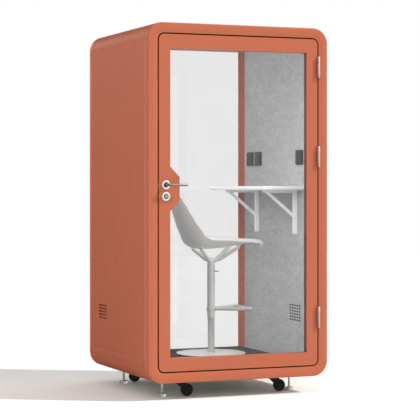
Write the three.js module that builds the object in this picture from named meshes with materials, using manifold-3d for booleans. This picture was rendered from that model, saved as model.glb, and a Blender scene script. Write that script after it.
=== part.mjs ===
// Acoustic office pod for one person: a rounded sheet-metal shell with a glazed door in front and
// a fixed pane behind, felt walls, a wall desk and a bar stool, on levelling feet and casters.
// Millimetres, +Z up, +X to the right and +Y to the back for someone who faces the door.
// The origin lies on the ground under the middle of the whole outline, door lever included.
import * as THREE from "three";
import { mergeVertices } from "three/addons/utils/BufferGeometryUtils.js";
import Module from "manifold-3d";

const wasm = await Module();
wasm.setup();

// Shell
const WIDTH = 1210;
const DEPTH = 1130;
const HEIGHT = 2300;
const GROUND = 105; // clear height under the shell
const CORNER = 97; // outer radius of the four long edges
const SKIN = 1.5; // sheet of the outer shell
const FIT = 0.3; // gap between two pieces that touch

// Wall, floor and ceiling build-up
const WALL = 95; // from the outer skin to the felt face
const FELT = 12;
const FLOOR_RISE = 85; // walking surface above the shell's underside
const CARPET = 8;
const DECK = 30;
const CEILING_DROP = 70; // ceiling face below the shell's top
const CEILING = 50;
const LIGHT_RADIUS = 130;
const LIGHT_THICK = 16;
const LIGHT_PROUD = 2;

// Front frame and seal
const FRAME_DEPTH = 65;
const FRAME_FACE = 63; // width of the ring seen from the front
const FRAME_EDGE = 6; // eased outer edge
const STOP_INSET = 95; // door stop behind the leaf
const STOP_CORNER = 20;
const SEAL = 3.4;
const SEAL_WIDTH = 14;
const SEAL_LAP = 5; // seal's outer edge inside the leaf's edge

// Rear frame and pane
const REAR_DEPTH = 35;
const REAR_JAMB = 125;
const REAR_CORNER = 8;
const REAR_LAP = 14; // pane's lap in its rebate
const REAR_SETBACK = 4; // pane behind the rear face

// Door leaf
const DOOR_GAP = 8; // shadow gap round the leaf
const DOOR_CORNER = 35;
const DOOR_THICK = 44;
const STILE = 74;
const TOP_RAIL = 88;
const BOTTOM_RAIL = 82;
const GLASS = 10;
const GLASS_SETBACK = 21;
const GROOVE = 12; // glazing groove in the leaf
const PLATE_REACH = 61; // lock plate's reach into the glass
const PLATE_TALL = 135; // half height where it leaves the stile
const PLATE_SHORT = 72; // half height at its far edge
const PLATE_RISE = 1183; // its middle above the shell's underside

// Door hinges
const HINGE_RISES = [372, 1384]; // lower two, from the bottom of the shell
const HINGE_DROP = 247; // upper one, from the top of the shell
const HINGE_LENGTH = 134;
const HINGE_MIDDLE = 54; // knuckle of the door leaf
const BARREL = 9; // radius
const HINGE_PIN = 4;
const LEAF = 2.5;
const LEAF_REACH = 38;
const KNUCKLE_GAP = 0.5;

// Lock and lever
const BACKSET = 45; // spindle behind the leaf's edge
const LEVER_RISE = 1206;
const CYLINDER_DROP = 70; // key cylinder below the spindle
const ROSE = 26;
const ROSE_THICK = 8;
const LEVER_BAR = 6; // radius
const LEVER_LENGTH = 127;
const LEVER_REACH = 50; // bar's middle in front of the leaf
const LEVER_BEND = 16;
const NECK = 9;
const SPINDLE = 8; // square
const FOREND = 3;
const FOREND_WIDTH = 22;
const CASE_THICK = 16;
const CASE_DEPTH = 82;
const CASE_MARGIN = 45; // case above the spindle and below the cylinder
const FOREND_MARGIN = 80;
const LATCH_PROUD = 6.5;
const LATCH_TRAVEL = 10;
const LATCH_LENGTH = 24;
const BOLT_LENGTH = 30;
const BOLT_THROW = 20;
const BOLT_HALF = 6; // half thickness of both bolts
const LATCH_HALF = 8; // half heights
const DEAD_HALF = 10;
const STRIKE = 2.5;
const STRIKE_MARGIN = 30;
const BACKPLATE_WIDTH = 38;
const BACKPLATE_MARGIN = 36;
const BACKPLATE = 6;

// Vents and fan
const VENT_INSET = 281; // vent's middle from the nearer end of its wall
const VENT_RISE = 381;
const VENT_SLOTS = 5;
const VENT_LENGTH = 158;
const VENT_SLOT = 9;
const VENT_PITCH = 20;
const GRID_ROWS = 6;
const GRID_COLUMNS = 5;
const GRID_LENGTH = 157;
const GRID_HEIGHT = 100;
const GRID_SLOT = [18, 6];
const FAN = 120;
const FAN_DEPTH = 25;
const FAN_BORE = 57;
const FAN_HUB = 21;
const FAN_BLADES = 7;
const BLADE_PITCH = 0.62; // radians
const FAN_GAP = 1.5; // running gap round the blades

// Desk
const DESK_DEPTH = 280;
const DESK_LENGTH = 930;
const DESK_SETBACK = 135; // behind the front face
const DESK_THICK = 27;
const DESK_HEIGHT = 1114; // top above the floor
const DESK_CORNER = 20;
const BRACKET_SPREAD = 300;
const BRACKET_LEG = [20, 30, 282]; // depth, width, height
const BRACKET_ARM = [235, 24, 16];
const BRACKET_STRUT = 18;
const BRACKET_FOOT = 175; // strut's foot below the desk
const BRACKET_HEAD = 212; // strut's head from the wall

// Wall plates
const PLATE = [100, 95, 10];
const PLATE_CORNER = 10;
const PLATE_RISES = 1299; // middle above the floor
const PLATE_PLACES = { socket_front: -357, socket_middle: 288, socket_rear: 420 };
const PLATE_INSERT = 62;
const PLATE_RECESS = 2;

// Chassis, casters and feet
const RAIL_SIDE = 30;
const SPINE_WIDTH = 300;
const CASTER_SIDE = 290; // swivel axis from the shell's side
const CASTER_END = 175; // and from its front or rear face
const CASTER_PAD = 70;
const PAD_PROUD = 3;
const CASTER_HEADINGS = { front_left: -22.5, front_right: -22.5, rear_left: 157.5, rear_right: 157.5 };
const CASTER_TRAIL = 30;
const WHEEL = 37.5;
const WHEEL_WIDTH = 24;
const WHEEL_LIFT = 2.5; // wheels clear of the ground while the feet carry
const AXLE = 4;
const CHEEK = 3;
const CHEEK_GAP = 1.5;
const FORK_HEAD = 24;
const KINGPIN = 6;
const FOOT_SIDE = 169;
const FOOT_END = 209;
const FOOT_PAD = 25;
const FOOT_PAD_THICK = 16;
const FOOT_STEM = 7.5;
const FOOT_REACH = 35; // stem's reach into the chassis

// Stool, heights above the floor
const STOOL_TO_WALL = 401;
const STOOL_TO_REAR = 400;
const STOOL_BASE = 229;
const STOOL_PLATE = 8;
const POST = 22;
const POST_TOP = 360;
const SLEEVE = 26;
const SLEEVE_FROM = 263;
const SLEEVE_TO = 605;
const STUB = 40; // seat frame's stub inside the sleeve
const FOOTREST_RISE = 302;
const FOOTREST_REACH = 237;
const FOOTREST_HALF = 139;
const FOOTREST_TUBE = 12;
const HANDLE_RISE = 551;
const HANDLE_ANGLE = -60; // degrees from straight ahead
const HANDLE_LENGTH = 36;
const HANDLE_HALF = 3;
const HUB_TOP = 640;
const ARM = [12, 9];
const ARM_ENDS = [[168, 74], [168, -74], [-100, 74], [-100, -74]];
const SEAT_SHELL = 12;

// Facets
const ARC = 6;
const ROUND = 16;
const SMALL = 12;

// Levels and planes
const BASE = GROUND;
const TOP = HEIGHT;
const FRONT = -DEPTH / 2;
const REAR = DEPTH / 2;
const SIDE = WIDTH / 2;
const FLOOR = BASE + FLOOR_RISE;
const DECK_TOP = FLOOR - CARPET;
const DECK_BOTTOM = DECK_TOP - DECK;
const CEIL = TOP - CEILING_DROP;
const WALL_FACE = SIDE - WALL;
const INNER_FRONT = FRONT + FRAME_DEPTH + FIT;
const INNER_BACK = REAR - REAR_DEPTH - FIT;
const STOP_Y = FRONT + DOOR_THICK + SEAL + 2 * FIT;
const DOOR_SIDE = SIDE - FRAME_FACE - DOOR_GAP;
const DOOR_LOW = BASE + FRAME_FACE + DOOR_GAP;
const DOOR_HIGH = TOP - FRAME_FACE - DOOR_GAP;
const DOOR_BACK = FRONT + DOOR_THICK;
const DOOR_MIDDLE = FRONT + DOOR_THICK / 2;
const LEVER_X = -DOOR_SIDE + BACKSET;
const LEVER_Z = BASE + LEVER_RISE;
const CYLINDER_Z = LEVER_Z - CYLINDER_DROP;
const VENT_Z = BASE + VENT_RISE;
const VENT_Y = REAR - VENT_INSET;
const FRONT_REACH = LEVER_REACH + LEVER_BAR;
const PAD_FACE = BASE - PAD_PROUD;

// Finishes
function finish(color, roughness, metalness = 0, extra = {}) {
  return new THREE.MeshStandardMaterial({ color, roughness, metalness, ...extra });
}
const TERRACOTTA = finish(0xc9704f, 0.5, 0.1);
const FELT_GREY = finish(0xadaeb0, 0.95);
const WOOL = finish(0xb9b39a, 1);
const CARPET_GREY = finish(0x47484a, 0.98);
const BOARD = finish(0xb08f63, 0.8);
const WHITE = finish(0xf2f2f0, 0.45);
const LAMP = finish(0xfdfbf2, 0.4);
const CLEAR = finish(0xe8eeec, 0.05, 0, { transparent: true, opacity: 0.2 });
const RUBBER = finish(0x3a1a12, 0.9);
const STEEL = finish(0xc9c8c4, 0.3, 0.95);
const CHROME = finish(0xdadada, 0.12, 1);
const BLACK = finish(0x262422, 0.6, 0.1);
const PLATE_GREY = finish(0x565656, 0.55);
const STOOL_GREY = finish(0xd9d8d5, 0.5);

// A closed geometry as a solid
function solid(geometry) {
  const bare = geometry.index ? geometry.toNonIndexed() : geometry.clone();
  bare.deleteAttribute("normal");
  bare.deleteAttribute("uv");
  const merged = mergeVertices(bare, 1e-4);
  const vertProperties = merged.getAttribute("position").array;
  const triVerts = new Uint32Array(merged.index.array);
  return new wasm.Manifold(new wasm.Mesh({ numProp: 3, vertProperties, triVerts }));
}

function geometryOf(body) {
  const mesh = body.getMesh();
  const geometry = new THREE.BufferGeometry();
  const points = new Float32Array(mesh.vertProperties);
  geometry.setAttribute("position", new THREE.BufferAttribute(points, 3));
  geometry.setIndex(new THREE.BufferAttribute(new Uint32Array(mesh.triVerts), 1));
  geometry.computeVertexNormals();
  return geometry;
}

function place(parent, name, body, material) {
  const mesh = new THREE.Mesh(geometryOf(body), material);
  mesh.name = name;
  parent.add(mesh);
  return mesh;
}

function join(first, ...others) {
  return others.reduce((sum, other) => sum.add(other), first);
}

function cut(first, ...tools) {
  return tools.reduce((rest, tool) => rest.subtract(tool), first);
}

// Basic solids
function box(x0, x1, y0, y1, z0, z1) {
  const geometry = new THREE.BoxGeometry(x1 - x0, y1 - y0, z1 - z0);
  return solid(geometry.translate((x0 + x1) / 2, (y0 + y1) / 2, (z0 + z1) / 2));
}

function rodZ(radius, x, y, z0, z1, sides = ROUND) {
  const geometry = new THREE.CylinderGeometry(radius, radius, z1 - z0, sides).rotateX(Math.PI / 2);
  return solid(geometry.translate(x, y, (z0 + z1) / 2));
}

function rodY(radius, x, z, y0, y1, sides = ROUND) {
  const geometry = new THREE.CylinderGeometry(radius, radius, y1 - y0, sides);
  return solid(geometry.translate(x, (y0 + y1) / 2, z));
}

function rodX(radius, y, z, x0, x1, sides = ROUND) {
  const geometry = new THREE.CylinderGeometry(radius, radius, x1 - x0, sides).rotateZ(Math.PI / 2);
  return solid(geometry.translate((x0 + x1) / 2, y, z));
}

// Revolved about Z, with the profile given upwards as radius and height
function turned(profile, sides = ROUND) {
  const points = profile.map(([radius, height]) => new THREE.Vector2(radius, height));
  return solid(new THREE.LatheGeometry(points, sides).rotateX(Math.PI / 2));
}

// Outlines pushed along one axis: (x, y) along Z, (x, z) along Y and (y, z) along X
const TO_X = new THREE.Matrix4().makeBasis(
  new THREE.Vector3(0, 1, 0),
  new THREE.Vector3(0, 0, 1),
  new THREE.Vector3(1, 0, 0),
);

function pushed(shape, depth, curveSegments) {
  return new THREE.ExtrudeGeometry(shape, { depth, bevelEnabled: false, curveSegments });
}

function alongZ(shape, z0, z1, steps = ARC) {
  return solid(pushed(shape, z1 - z0, steps).translate(0, 0, z0));
}

function alongY(shape, y0, y1, steps = ARC) {
  return solid(pushed(shape, y1 - y0, steps).rotateX(Math.PI / 2).translate(0, y1, 0));
}

function alongX(shape, x0, x1, steps = ARC) {
  return solid(pushed(shape, x1 - x0, steps).applyMatrix4(TO_X).translate(x0, 0, 0));
}

function polygon(points) {
  return new THREE.Shape(points.map(([x, y]) => new THREE.Vector2(x, y)));
}

function roundedRect(x0, y0, x1, y1, radius) {
  const shape = new THREE.Shape();
  shape.absarc(x1 - radius, y0 + radius, radius, -Math.PI / 2, 0);
  shape.absarc(x1 - radius, y1 - radius, radius, 0, Math.PI / 2);
  shape.absarc(x0 + radius, y1 - radius, radius, Math.PI / 2, Math.PI);
  shape.absarc(x0 + radius, y0 + radius, radius, Math.PI, 1.5 * Math.PI);
  return shape;
}

function slot(x, y, length, height) {
  const radius = height / 2;
  const shape = new THREE.Shape();
  shape.absarc(x + length / 2 - radius, y, radius, -Math.PI / 2, Math.PI / 2);
  shape.absarc(x - length / 2 + radius, y, radius, Math.PI / 2, 1.5 * Math.PI);
  return shape;
}

// A round bar through points, with its corners bent to a radius
function bentBar(points, bend, radius, sides, bendSteps = 5) {
  const path = new THREE.CurvePath();
  let from = points[0];
  points.slice(1, -1).forEach((corner, i) => {
    const before = corner.clone().addScaledVector(corner.clone().sub(points[i]).normalize(), -bend);
    const after = corner.clone().addScaledVector(points[i + 2].clone().sub(corner).normalize(), bend);
    path.add(new THREE.LineCurve3(from, before));
    path.add(new THREE.QuadraticBezierCurve3(before, corner, after));
    from = after;
  });
  path.add(new THREE.LineCurve3(from, points.at(-1)));
  return solid(sweep(path, roundSection(radius, radius, sides), path.curves.length * bendSteps));
}

function roundSection(a, b, sides) {
  const points = Array.from({ length: sides }, (_, i) => {
    const angle = (2 * Math.PI * i) / sides;
    return new THREE.Vector2(a * Math.cos(angle), b * Math.sin(angle));
  });
  return new THREE.Shape(points);
}

function sweep(path, section, steps) {
  return new THREE.ExtrudeGeometry(section, { steps, bevelEnabled: false, extrudePath: path });
}

// Shell: a roof cover and a base tray with bent corners, and two flat side skins between them

// Half width inside the shell at a height above its underside, or below its top
function reachInside(rise) {
  const drop = Math.max(0, CORNER - rise);
  const inner = (CORNER - SKIN) * Math.cos(Math.PI / (4 * ARC));
  return SIDE - CORNER + Math.sqrt(inner ** 2 - drop ** 2);
}

// Trough section with its lowest line at height 0
function troughShape() {
  const inner = CORNER - SKIN;
  const shape = new THREE.Shape();
  shape.absarc(-SIDE + CORNER, CORNER, CORNER, Math.PI, 1.5 * Math.PI);
  shape.absarc(SIDE - CORNER, CORNER, CORNER, 1.5 * Math.PI, 2 * Math.PI);
  shape.absarc(SIDE - CORNER, CORNER, inner, 2 * Math.PI, 1.5 * Math.PI, true);
  shape.absarc(-SIDE + CORNER, CORNER, inner, 1.5 * Math.PI, Math.PI, true);
  return shape;
}

function fourCorners(side, end) {
  return [[-side, -end], [side, -end], [-side, end], [side, end]];
}
const CASTERS = fourCorners(SIDE - CASTER_SIDE, REAR - CASTER_END);
const FEET = fourCorners(SIDE - FOOT_SIDE, REAR - FOOT_END);

function baseTray() {
  const trough = alongY(troughShape(), INNER_FRONT, INNER_BACK).translate([0, 0, BASE]);
  const half = CASTER_PAD / 2 + FIT;
  const above = BASE + SKIN + 1;
  const pads = CASTERS.map(([x, y]) => box(x - half, x + half, y - half, y + half, BASE - 1, above));
  const holes = FEET.map(([x, y]) => rodZ(FOOT_STEM + 3, x, y, BASE - 1, above, 8));
  return cut(trough, ...pads, ...holes);
}

function roofCover() {
  return alongY(troughShape(), INNER_FRONT, INNER_BACK).rotate([0, 180, 0]).translate([0, 0, TOP]);
}

// The vent sits near the rear of the left wall and, turned round, near the front of the right one
function ventY(side) {
  return -side * VENT_Y;
}

function sideSkin(side) {
  const low = BASE + CORNER + FIT;
  const high = TOP - CORNER - FIT;
  const sheet = roundedRect(INNER_FRONT, low, INNER_BACK, high, SKIN);
  for (let i = 0; i < VENT_SLOTS; i += 1) {
    const z = VENT_Z + (i - (VENT_SLOTS - 1) / 2) * VENT_PITCH;
    sheet.holes.push(slot(ventY(side), z, VENT_LENGTH, VENT_SLOT));
  }
  const faces = [side * SIDE, side * (SIDE - SKIN)].sort((a, b) => a - b);
  return alongX(sheet, ...faces, 2);
}

// Wall lining
function ductHole(side, margin) {
  const half = [GRID_LENGTH / 2 + margin, FAN / 2 + margin];
  const y = ventY(side);
  return box(-SIDE, SIDE, y - half[0], y + half[0], VENT_Z - half[1], VENT_Z + half[1]);
}

function wallCore(side) {
  const outer = reachInside(Math.min(FLOOR_RISE - CARPET, CEILING_DROP)) - FIT;
  const inner = WALL_FACE + FELT + FIT;
  const [x0, x1] = [side * outer, side * inner].sort((a, b) => a - b);
  return cut(box(x0, x1, INNER_FRONT, INNER_BACK, DECK_TOP + FIT, CEIL - FIT), ductHole(side, FIT));
}

function feltPanel(side) {
  const panel = polygon([
    [INNER_FRONT, DECK_TOP + FIT],
    [INNER_BACK, DECK_TOP + FIT],
    [INNER_BACK, CEIL - FIT],
    [INNER_FRONT, CEIL - FIT],
  ]);
  const [length, height] = GRID_SLOT;
  for (let row = 0; row < GRID_ROWS; row += 1) {
    for (let column = 0; column < GRID_COLUMNS; column += 1) {
      const y = (column / (GRID_COLUMNS - 1) - 0.5) * (GRID_LENGTH - length);
      const z = (row / (GRID_ROWS - 1) - 0.5) * (GRID_HEIGHT - height);
      panel.holes.push(slot(ventY(side) + y, VENT_Z + z, length, height));
    }
  }
  const faces = [side * WALL_FACE, side * (WALL_FACE + FELT)].sort((a, b) => a - b);
  return alongX(panel, ...faces, 1);
}

function ceilingPanel() {
  const half = reachInside(CEILING_DROP - CEILING) - FIT;
  const panel = box(-half, half, INNER_FRONT, INNER_BACK, CEIL, CEIL + CEILING);
  const recess = CEIL + LIGHT_THICK - LIGHT_PROUD + FIT;
  return cut(panel, rodZ(LIGHT_RADIUS + FIT, 0, 0, CEIL - 1, recess, 28));
}

function ceilingLight() {
  const low = CEIL - LIGHT_PROUD;
  return turned(
    [
      [0, low],
      [LIGHT_RADIUS - 3, low],
      [LIGHT_RADIUS, low + 2],
      [LIGHT_RADIUS, low + LIGHT_THICK],
      [0, low + LIGHT_THICK],
    ],
    28,
  );
}

function floorDeck() {
  const half = reachInside(DECK_BOTTOM - BASE) - FIT;
  return box(-half, half, INNER_FRONT, INNER_BACK, DECK_BOTTOM, DECK_TOP);
}

function carpet() {
  const half = WALL_FACE - FIT;
  return box(-half, half, INNER_FRONT, INNER_BACK, DECK_TOP + FIT, FLOOR);
}

// Chassis: two cross rails joined by a spine, with a pad for each caster and a bore for each foot
function chassis() {
  const low = BASE + SKIN + FIT;
  const high = DECK_BOTTOM - FIT;
  const [, , , [casterX, casterY]] = CASTERS;
  const [, , , [footX, footY]] = FEET;
  const half = Math.max(footX, casterX) + RAIL_SIDE;
  const inner = Math.min(footY, casterY) - RAIL_SIDE;
  const outer = Math.max(footY, casterY) + CASTER_PAD / 2;
  const rails = [
    box(-half, half, -outer, -inner, low, high),
    box(-half, half, inner, outer, low, high),
    box(-SPINE_WIDTH / 2, SPINE_WIDTH / 2, -outer, outer, low, high),
  ];
  const pad = CASTER_PAD / 2;
  const pads = CASTERS.map(([x, y]) => box(x - pad, x + pad, y - pad, y + pad, PAD_FACE, high));
  const pins = CASTERS.map(([x, y]) => rodZ(KINGPIN + FIT, x, y, PAD_FACE - 1, PAD_FACE + 11, SMALL));
  const bores = FEET.map(([x, y]) => rodZ(FOOT_STEM + FIT, x, y, low - 1, high + 1, SMALL));
  return cut(join(...rails, ...pads), ...pins, ...bores);
}

// Rings at both ends of the shell
function insetOutline(inset, radius) {
  return roundedRect(-SIDE + inset, BASE + inset, SIDE - inset, TOP - inset, radius);
}

// A full slab of the shell's section whose two end edges are eased
function easedSlab(depth) {
  const geometry = new THREE.ExtrudeGeometry(insetOutline(0, CORNER), {
    depth: depth - 2 * FRAME_EDGE,
    curveSegments: ARC,
    bevelThickness: FRAME_EDGE,
    bevelSize: FRAME_EDGE,
    bevelOffset: -FRAME_EDGE,
    bevelSegments: 1,
  });
  return solid(geometry.rotateX(Math.PI / 2).translate(0, -FRAME_EDGE, 0));
}

function boltPocket(z, half, depth) {
  const edge = -SIDE + FRAME_FACE;
  const width = BOLT_HALF + 2;
  return box(edge - depth, edge + 1, DOOR_MIDDLE - width, DOOR_MIDDLE + width, z - half - 2, z + half + 2);
}

function strikeBody(margin) {
  const edge = -SIDE + FRAME_FACE;
  const half = FOREND_WIDTH / 2 + margin;
  const low = CYLINDER_Z - STRIKE_MARGIN - margin;
  const high = LEVER_Z + STRIKE_MARGIN + margin;
  return box(edge - STRIKE - margin, edge, DOOR_MIDDLE - half, DOOR_MIDDLE + half, low, high);
}

function strikePlate() {
  const latchHole = boltPocket(LEVER_Z, LATCH_HALF, STRIKE + 1);
  return cut(strikeBody(0), latchHole, boltPocket(CYLINDER_Z, DEAD_HALF, STRIKE + 1));
}

function frontFrame() {
  const slab = easedSlab(2 * FRAME_DEPTH).translate([0, FRONT + 2 * FRAME_DEPTH, 0]);
  const far = FRONT + FRAME_DEPTH;
  const behind = box(-SIDE - 1, SIDE + 1, far, far + 2 * FRAME_DEPTH, BASE - 1, TOP + 1);
  const doorway = alongY(insetOutline(FRAME_FACE, DOOR_CORNER + DOOR_GAP), FRONT - 1, STOP_Y, 5);
  const stop = alongY(insetOutline(STOP_INSET, STOP_CORNER), FRONT - 1, far + 1, 4);
  const throwDepth = BOLT_THROW - DOOR_GAP + 4;
  const pockets = [
    boltPocket(CYLINDER_Z, DEAD_HALF, throwDepth),
    boltPocket(LEVER_Z, LATCH_HALF, throwDepth),
  ];
  return cut(slab, behind, doorway, stop, strikeBody(FIT), ...pockets);
}

function doorSeal() {
  const inset = FRAME_FACE + DOOR_GAP + SEAL_LAP;
  const ring = insetOutline(inset, DOOR_CORNER - SEAL_LAP);
  ring.holes.push(insetOutline(inset + SEAL_WIDTH, DOOR_CORNER - SEAL_LAP - SEAL_WIDTH));
  return alongY(ring, DOOR_BACK + FIT, STOP_Y - FIT, 4);
}

function rearOpening(grow) {
  const half = SIDE - REAR_JAMB + grow;
  return roundedRect(-half, FLOOR - grow, half, CEIL + grow, REAR_CORNER);
}

function rearFrame() {
  const slab = easedSlab(2 * REAR_DEPTH).translate([0, REAR, 0]);
  const near = REAR - REAR_DEPTH;
  const before = box(-SIDE - 1, SIDE + 1, near - 2 * REAR_DEPTH, near, BASE - 1, TOP + 1);
  const rebate = REAR - REAR_SETBACK - GLASS - FIT;
  const through = alongY(rearOpening(0), near - 1, REAR + 1, 4);
  return cut(slab, before, through, alongY(rearOpening(REAR_LAP), rebate, REAR + 1, 4));
}

function rearGlass() {
  const back = REAR - REAR_SETBACK;
  return alongY(rearOpening(REAR_LAP - FIT), back - GLASS, back, 4);
}

// Door leaf: a flush frame round a pane, with the left stile widened into a lock plate

// The pane's opening, grown outwards all round
function paneOutline(grow) {
  const left = -DOOR_SIDE + STILE - grow;
  const right = DOOR_SIDE - STILE + grow;
  const low = DOOR_LOW + BOTTOM_RAIL - grow;
  const high = DOOR_HIGH - TOP_RAIL + grow;
  const middle = BASE + PLATE_RISE;
  const rise = PLATE_TALL - PLATE_SHORT;
  const slant = ((Math.hypot(PLATE_REACH, rise) - rise) / PLATE_REACH) * grow;
  return polygon([
    [left, low],
    [right, low],
    [right, high],
    [left, high],
    [left, middle + PLATE_TALL - slant],
    [left + PLATE_REACH, middle + PLATE_SHORT - slant],
    [left + PLATE_REACH, middle - PLATE_SHORT + slant],
    [left, middle - PLATE_TALL + slant],
  ]);
}

function lockBody(margin) {
  const edge = -DOOR_SIDE;
  const half = CASE_THICK / 2 + margin;
  const face = FOREND_WIDTH / 2 + margin;
  const low = CYLINDER_Z - CASE_MARGIN - margin;
  const high = LEVER_Z + CASE_MARGIN + margin;
  const [y0, y1] = [DOOR_MIDDLE - half, DOOR_MIDDLE + half];
  const body = box(edge, edge + CASE_DEPTH + margin, y0, y1, low, high);
  const forendLow = CYLINDER_Z - FOREND_MARGIN - margin;
  const forendHigh = LEVER_Z + FOREND_MARGIN + margin;
  const [f0, f1] = [DOOR_MIDDLE - face, DOOR_MIDDLE + face];
  return body.add(box(edge, edge + FOREND + margin, f0, f1, forendLow, forendHigh));
}

function lockCase() {
  const edge = -DOOR_SIDE;
  const wide = BOLT_HALF + FIT;
  const [y0, y1] = [DOOR_MIDDLE - wide, DOOR_MIDDLE + wide];
  const latchEnd = edge + LATCH_LENGTH + LATCH_TRAVEL + 2;
  const latchHalf = LATCH_HALF + FIT;
  const boltHalf = DEAD_HALF + FIT;
  return cut(
    lockBody(0),
    box(edge - 1, latchEnd, y0, y1, LEVER_Z - latchHalf, LEVER_Z + latchHalf),
    box(edge - 1, edge + BOLT_LENGTH + 1, y0, y1, CYLINDER_Z - boltHalf, CYLINDER_Z + boltHalf),
    rodY(SPINDLE * 0.75, LEVER_X, LEVER_Z, FRONT, DOOR_BACK, SMALL),
    rodY(SPINDLE * 0.75, LEVER_X, CYLINDER_Z, FRONT, DOOR_BACK, SMALL),
  );
}

function doorFrame() {
  const leaf = roundedRect(-DOOR_SIDE, DOOR_LOW, DOOR_SIDE, DOOR_HIGH, DOOR_CORNER);
  leaf.holes.push(paneOutline(0));
  const paneFront = FRONT + GLASS_SETBACK - FIT;
  const groove = alongY(paneOutline(GROOVE), paneFront, paneFront + GLASS + 2 * FIT);
  const edge = box(-DOOR_SIDE - 1, -DOOR_SIDE, FRONT, DOOR_BACK, DOOR_LOW, DOOR_HIGH);
  return cut(
    alongY(leaf, FRONT, DOOR_BACK, 5),
    groove,
    lockBody(FIT).add(edge),
    rodY(NECK + FIT, LEVER_X, LEVER_Z, FRONT - 1, DOOR_BACK + 1, SMALL),
    rodY(NECK + FIT, LEVER_X, CYLINDER_Z, DOOR_MIDDLE, DOOR_BACK + 1, SMALL),
  );
}

function doorGlass() {
  const front = FRONT + GLASS_SETBACK;
  const edge = -DOOR_SIDE + CASE_DEPTH + 1;
  const low = CYLINDER_Z - CASE_MARGIN - 1;
  const high = LEVER_Z + CASE_MARGIN + 1;
  const lock = box(-DOOR_SIDE, edge, FRONT, DOOR_BACK, low, high);
  return cut(alongY(paneOutline(GROOVE - FIT), front, front + GLASS), lock);
}

function latchBolt() {
  const nose = -DOOR_SIDE - LATCH_PROUD;
  const tail = -DOOR_SIDE + LATCH_LENGTH;
  const outline = polygon([
    [nose, DOOR_MIDDLE - BOLT_HALF],
    [tail, DOOR_MIDDLE - BOLT_HALF],
    [tail, DOOR_MIDDLE + BOLT_HALF],
    [nose + LATCH_PROUD, DOOR_MIDDLE + BOLT_HALF],
    [nose, DOOR_MIDDLE - BOLT_HALF / 3],
  ]);
  return alongZ(outline, LEVER_Z - LATCH_HALF, LEVER_Z + LATCH_HALF);
}

function deadBolt() {
  const nose = -DOOR_SIDE + FIT;
  const [y0, y1] = [DOOR_MIDDLE - BOLT_HALF, DOOR_MIDDLE + BOLT_HALF];
  return box(nose, nose + BOLT_LENGTH, y0, y1, CYLINDER_Z - DEAD_HALF, CYLINDER_Z + DEAD_HALF);
}

// Furniture of the lock, drawn round the spindle's axis with the door's face at 0 and out along +Z
function rose(bore) {
  return turned(
    [
      [bore, FIT],
      [ROSE, FIT],
      [ROSE, ROSE_THICK - 2],
      [ROSE - 2, ROSE_THICK],
      [bore, ROSE_THICK],
      [bore, FIT],
    ],
    ROUND,
  );
}

function cylinderRose() {
  const plug = rodZ(8.5, 0, 0, FIT, ROSE_THICK + 3);
  const keyway = box(-1.2, 1.2, -5, 5, ROSE_THICK - 4, ROSE_THICK + 4);
  return cut(rose(8.5 + FIT).add(rodZ(ROSE - 6, 0, 0, FIT, ROSE_THICK - 2)).add(plug), keyway);
}

// One bent bar with its neck and collar; it points along +X
function leverBody() {
  const bar = bentBar(
    [
      new THREE.Vector3(0, 0, ROSE_THICK),
      new THREE.Vector3(0, 0, LEVER_REACH),
      new THREE.Vector3(LEVER_LENGTH, 0, LEVER_REACH),
    ],
    LEVER_BEND,
    LEVER_BAR,
    8,
    4,
  );
  return bar.add(rodZ(NECK, 0, 0, FIT, ROSE_THICK + 6));
}

function lockBackplate() {
  const half = BACKPLATE_WIDTH / 2;
  const low = CYLINDER_Z - LEVER_Z - BACKPLATE_MARGIN;
  const plate = roundedRect(-half, low, half, BACKPLATE_MARGIN, half - 1);
  return cut(
    alongZ(plate, FIT, BACKPLATE, 4),
    rodZ(NECK + FIT, 0, 0, 0, BACKPLATE + 1),
    rodZ(NECK + FIT, 0, CYLINDER_Z - LEVER_Z, 0, BACKPLATE + 1),
  );
}

// Oval thumb piece, with a shaft down to the lock
function thumbTurn() {
  const knob = alongZ(slot(0, 0, 34, 14), BACKPLATE + 3, BACKPLATE + 22, 5).rotate([0, 0, 90]);
  const collar = rodZ(NECK, 0, 0, FIT, BACKPLATE + 4);
  return join(knob, collar, rodZ(SPINDLE / 2, 0, 0, -DOOR_THICK / 2, FIT + 1, SMALL));
}

// Hinges, drawn round the pin's axis
function leafPlate(side, knuckles) {
  const half = HINGE_LENGTH / 2;
  const outer = side * (DOOR_GAP / 2 - FIT);
  const [x0, x1] = [outer, outer - side * LEAF].sort((a, b) => a - b);
  const clear = BARREL + KNUCKLE_GAP;
  const plate = box(x0, x1, clear, BARREL + LEAF_REACH, -half, half);
  const tabs = knuckles.map(([z0, z1]) => box(x0, x1, HINGE_PIN + 2, clear + 1, z0, z1));
  return join(plate, ...tabs);
}

// Two outer knuckles and the pin between them in one turned piece
function hingeFrameLeaf() {
  const half = HINGE_LENGTH / 2;
  const middle = HINGE_MIDDLE / 2 + KNUCKLE_GAP;
  const knuckles = turned(
    [
      [0, -half],
      [BARREL - 1, -half],
      [BARREL, -half + 1],
      [BARREL, -middle],
      [HINGE_PIN, -middle],
      [HINGE_PIN, middle],
      [BARREL, middle],
      [BARREL, half - 1],
      [BARREL - 1, half],
      [0, half],
    ],
    SMALL,
  );
  return leafPlate(1, [[-half + 1, -middle], [middle, half - 1]]).add(knuckles);
}

function hingeDoorLeaf() {
  const half = HINGE_MIDDLE / 2;
  const bore = HINGE_PIN + FIT;
  const outline = [
    [bore, -half],
    [BARREL, -half],
    [BARREL, half],
    [bore, half],
    [bore, -half],
  ];
  return leafPlate(-1, [[-half, half]]).add(turned(outline, SMALL));
}

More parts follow.
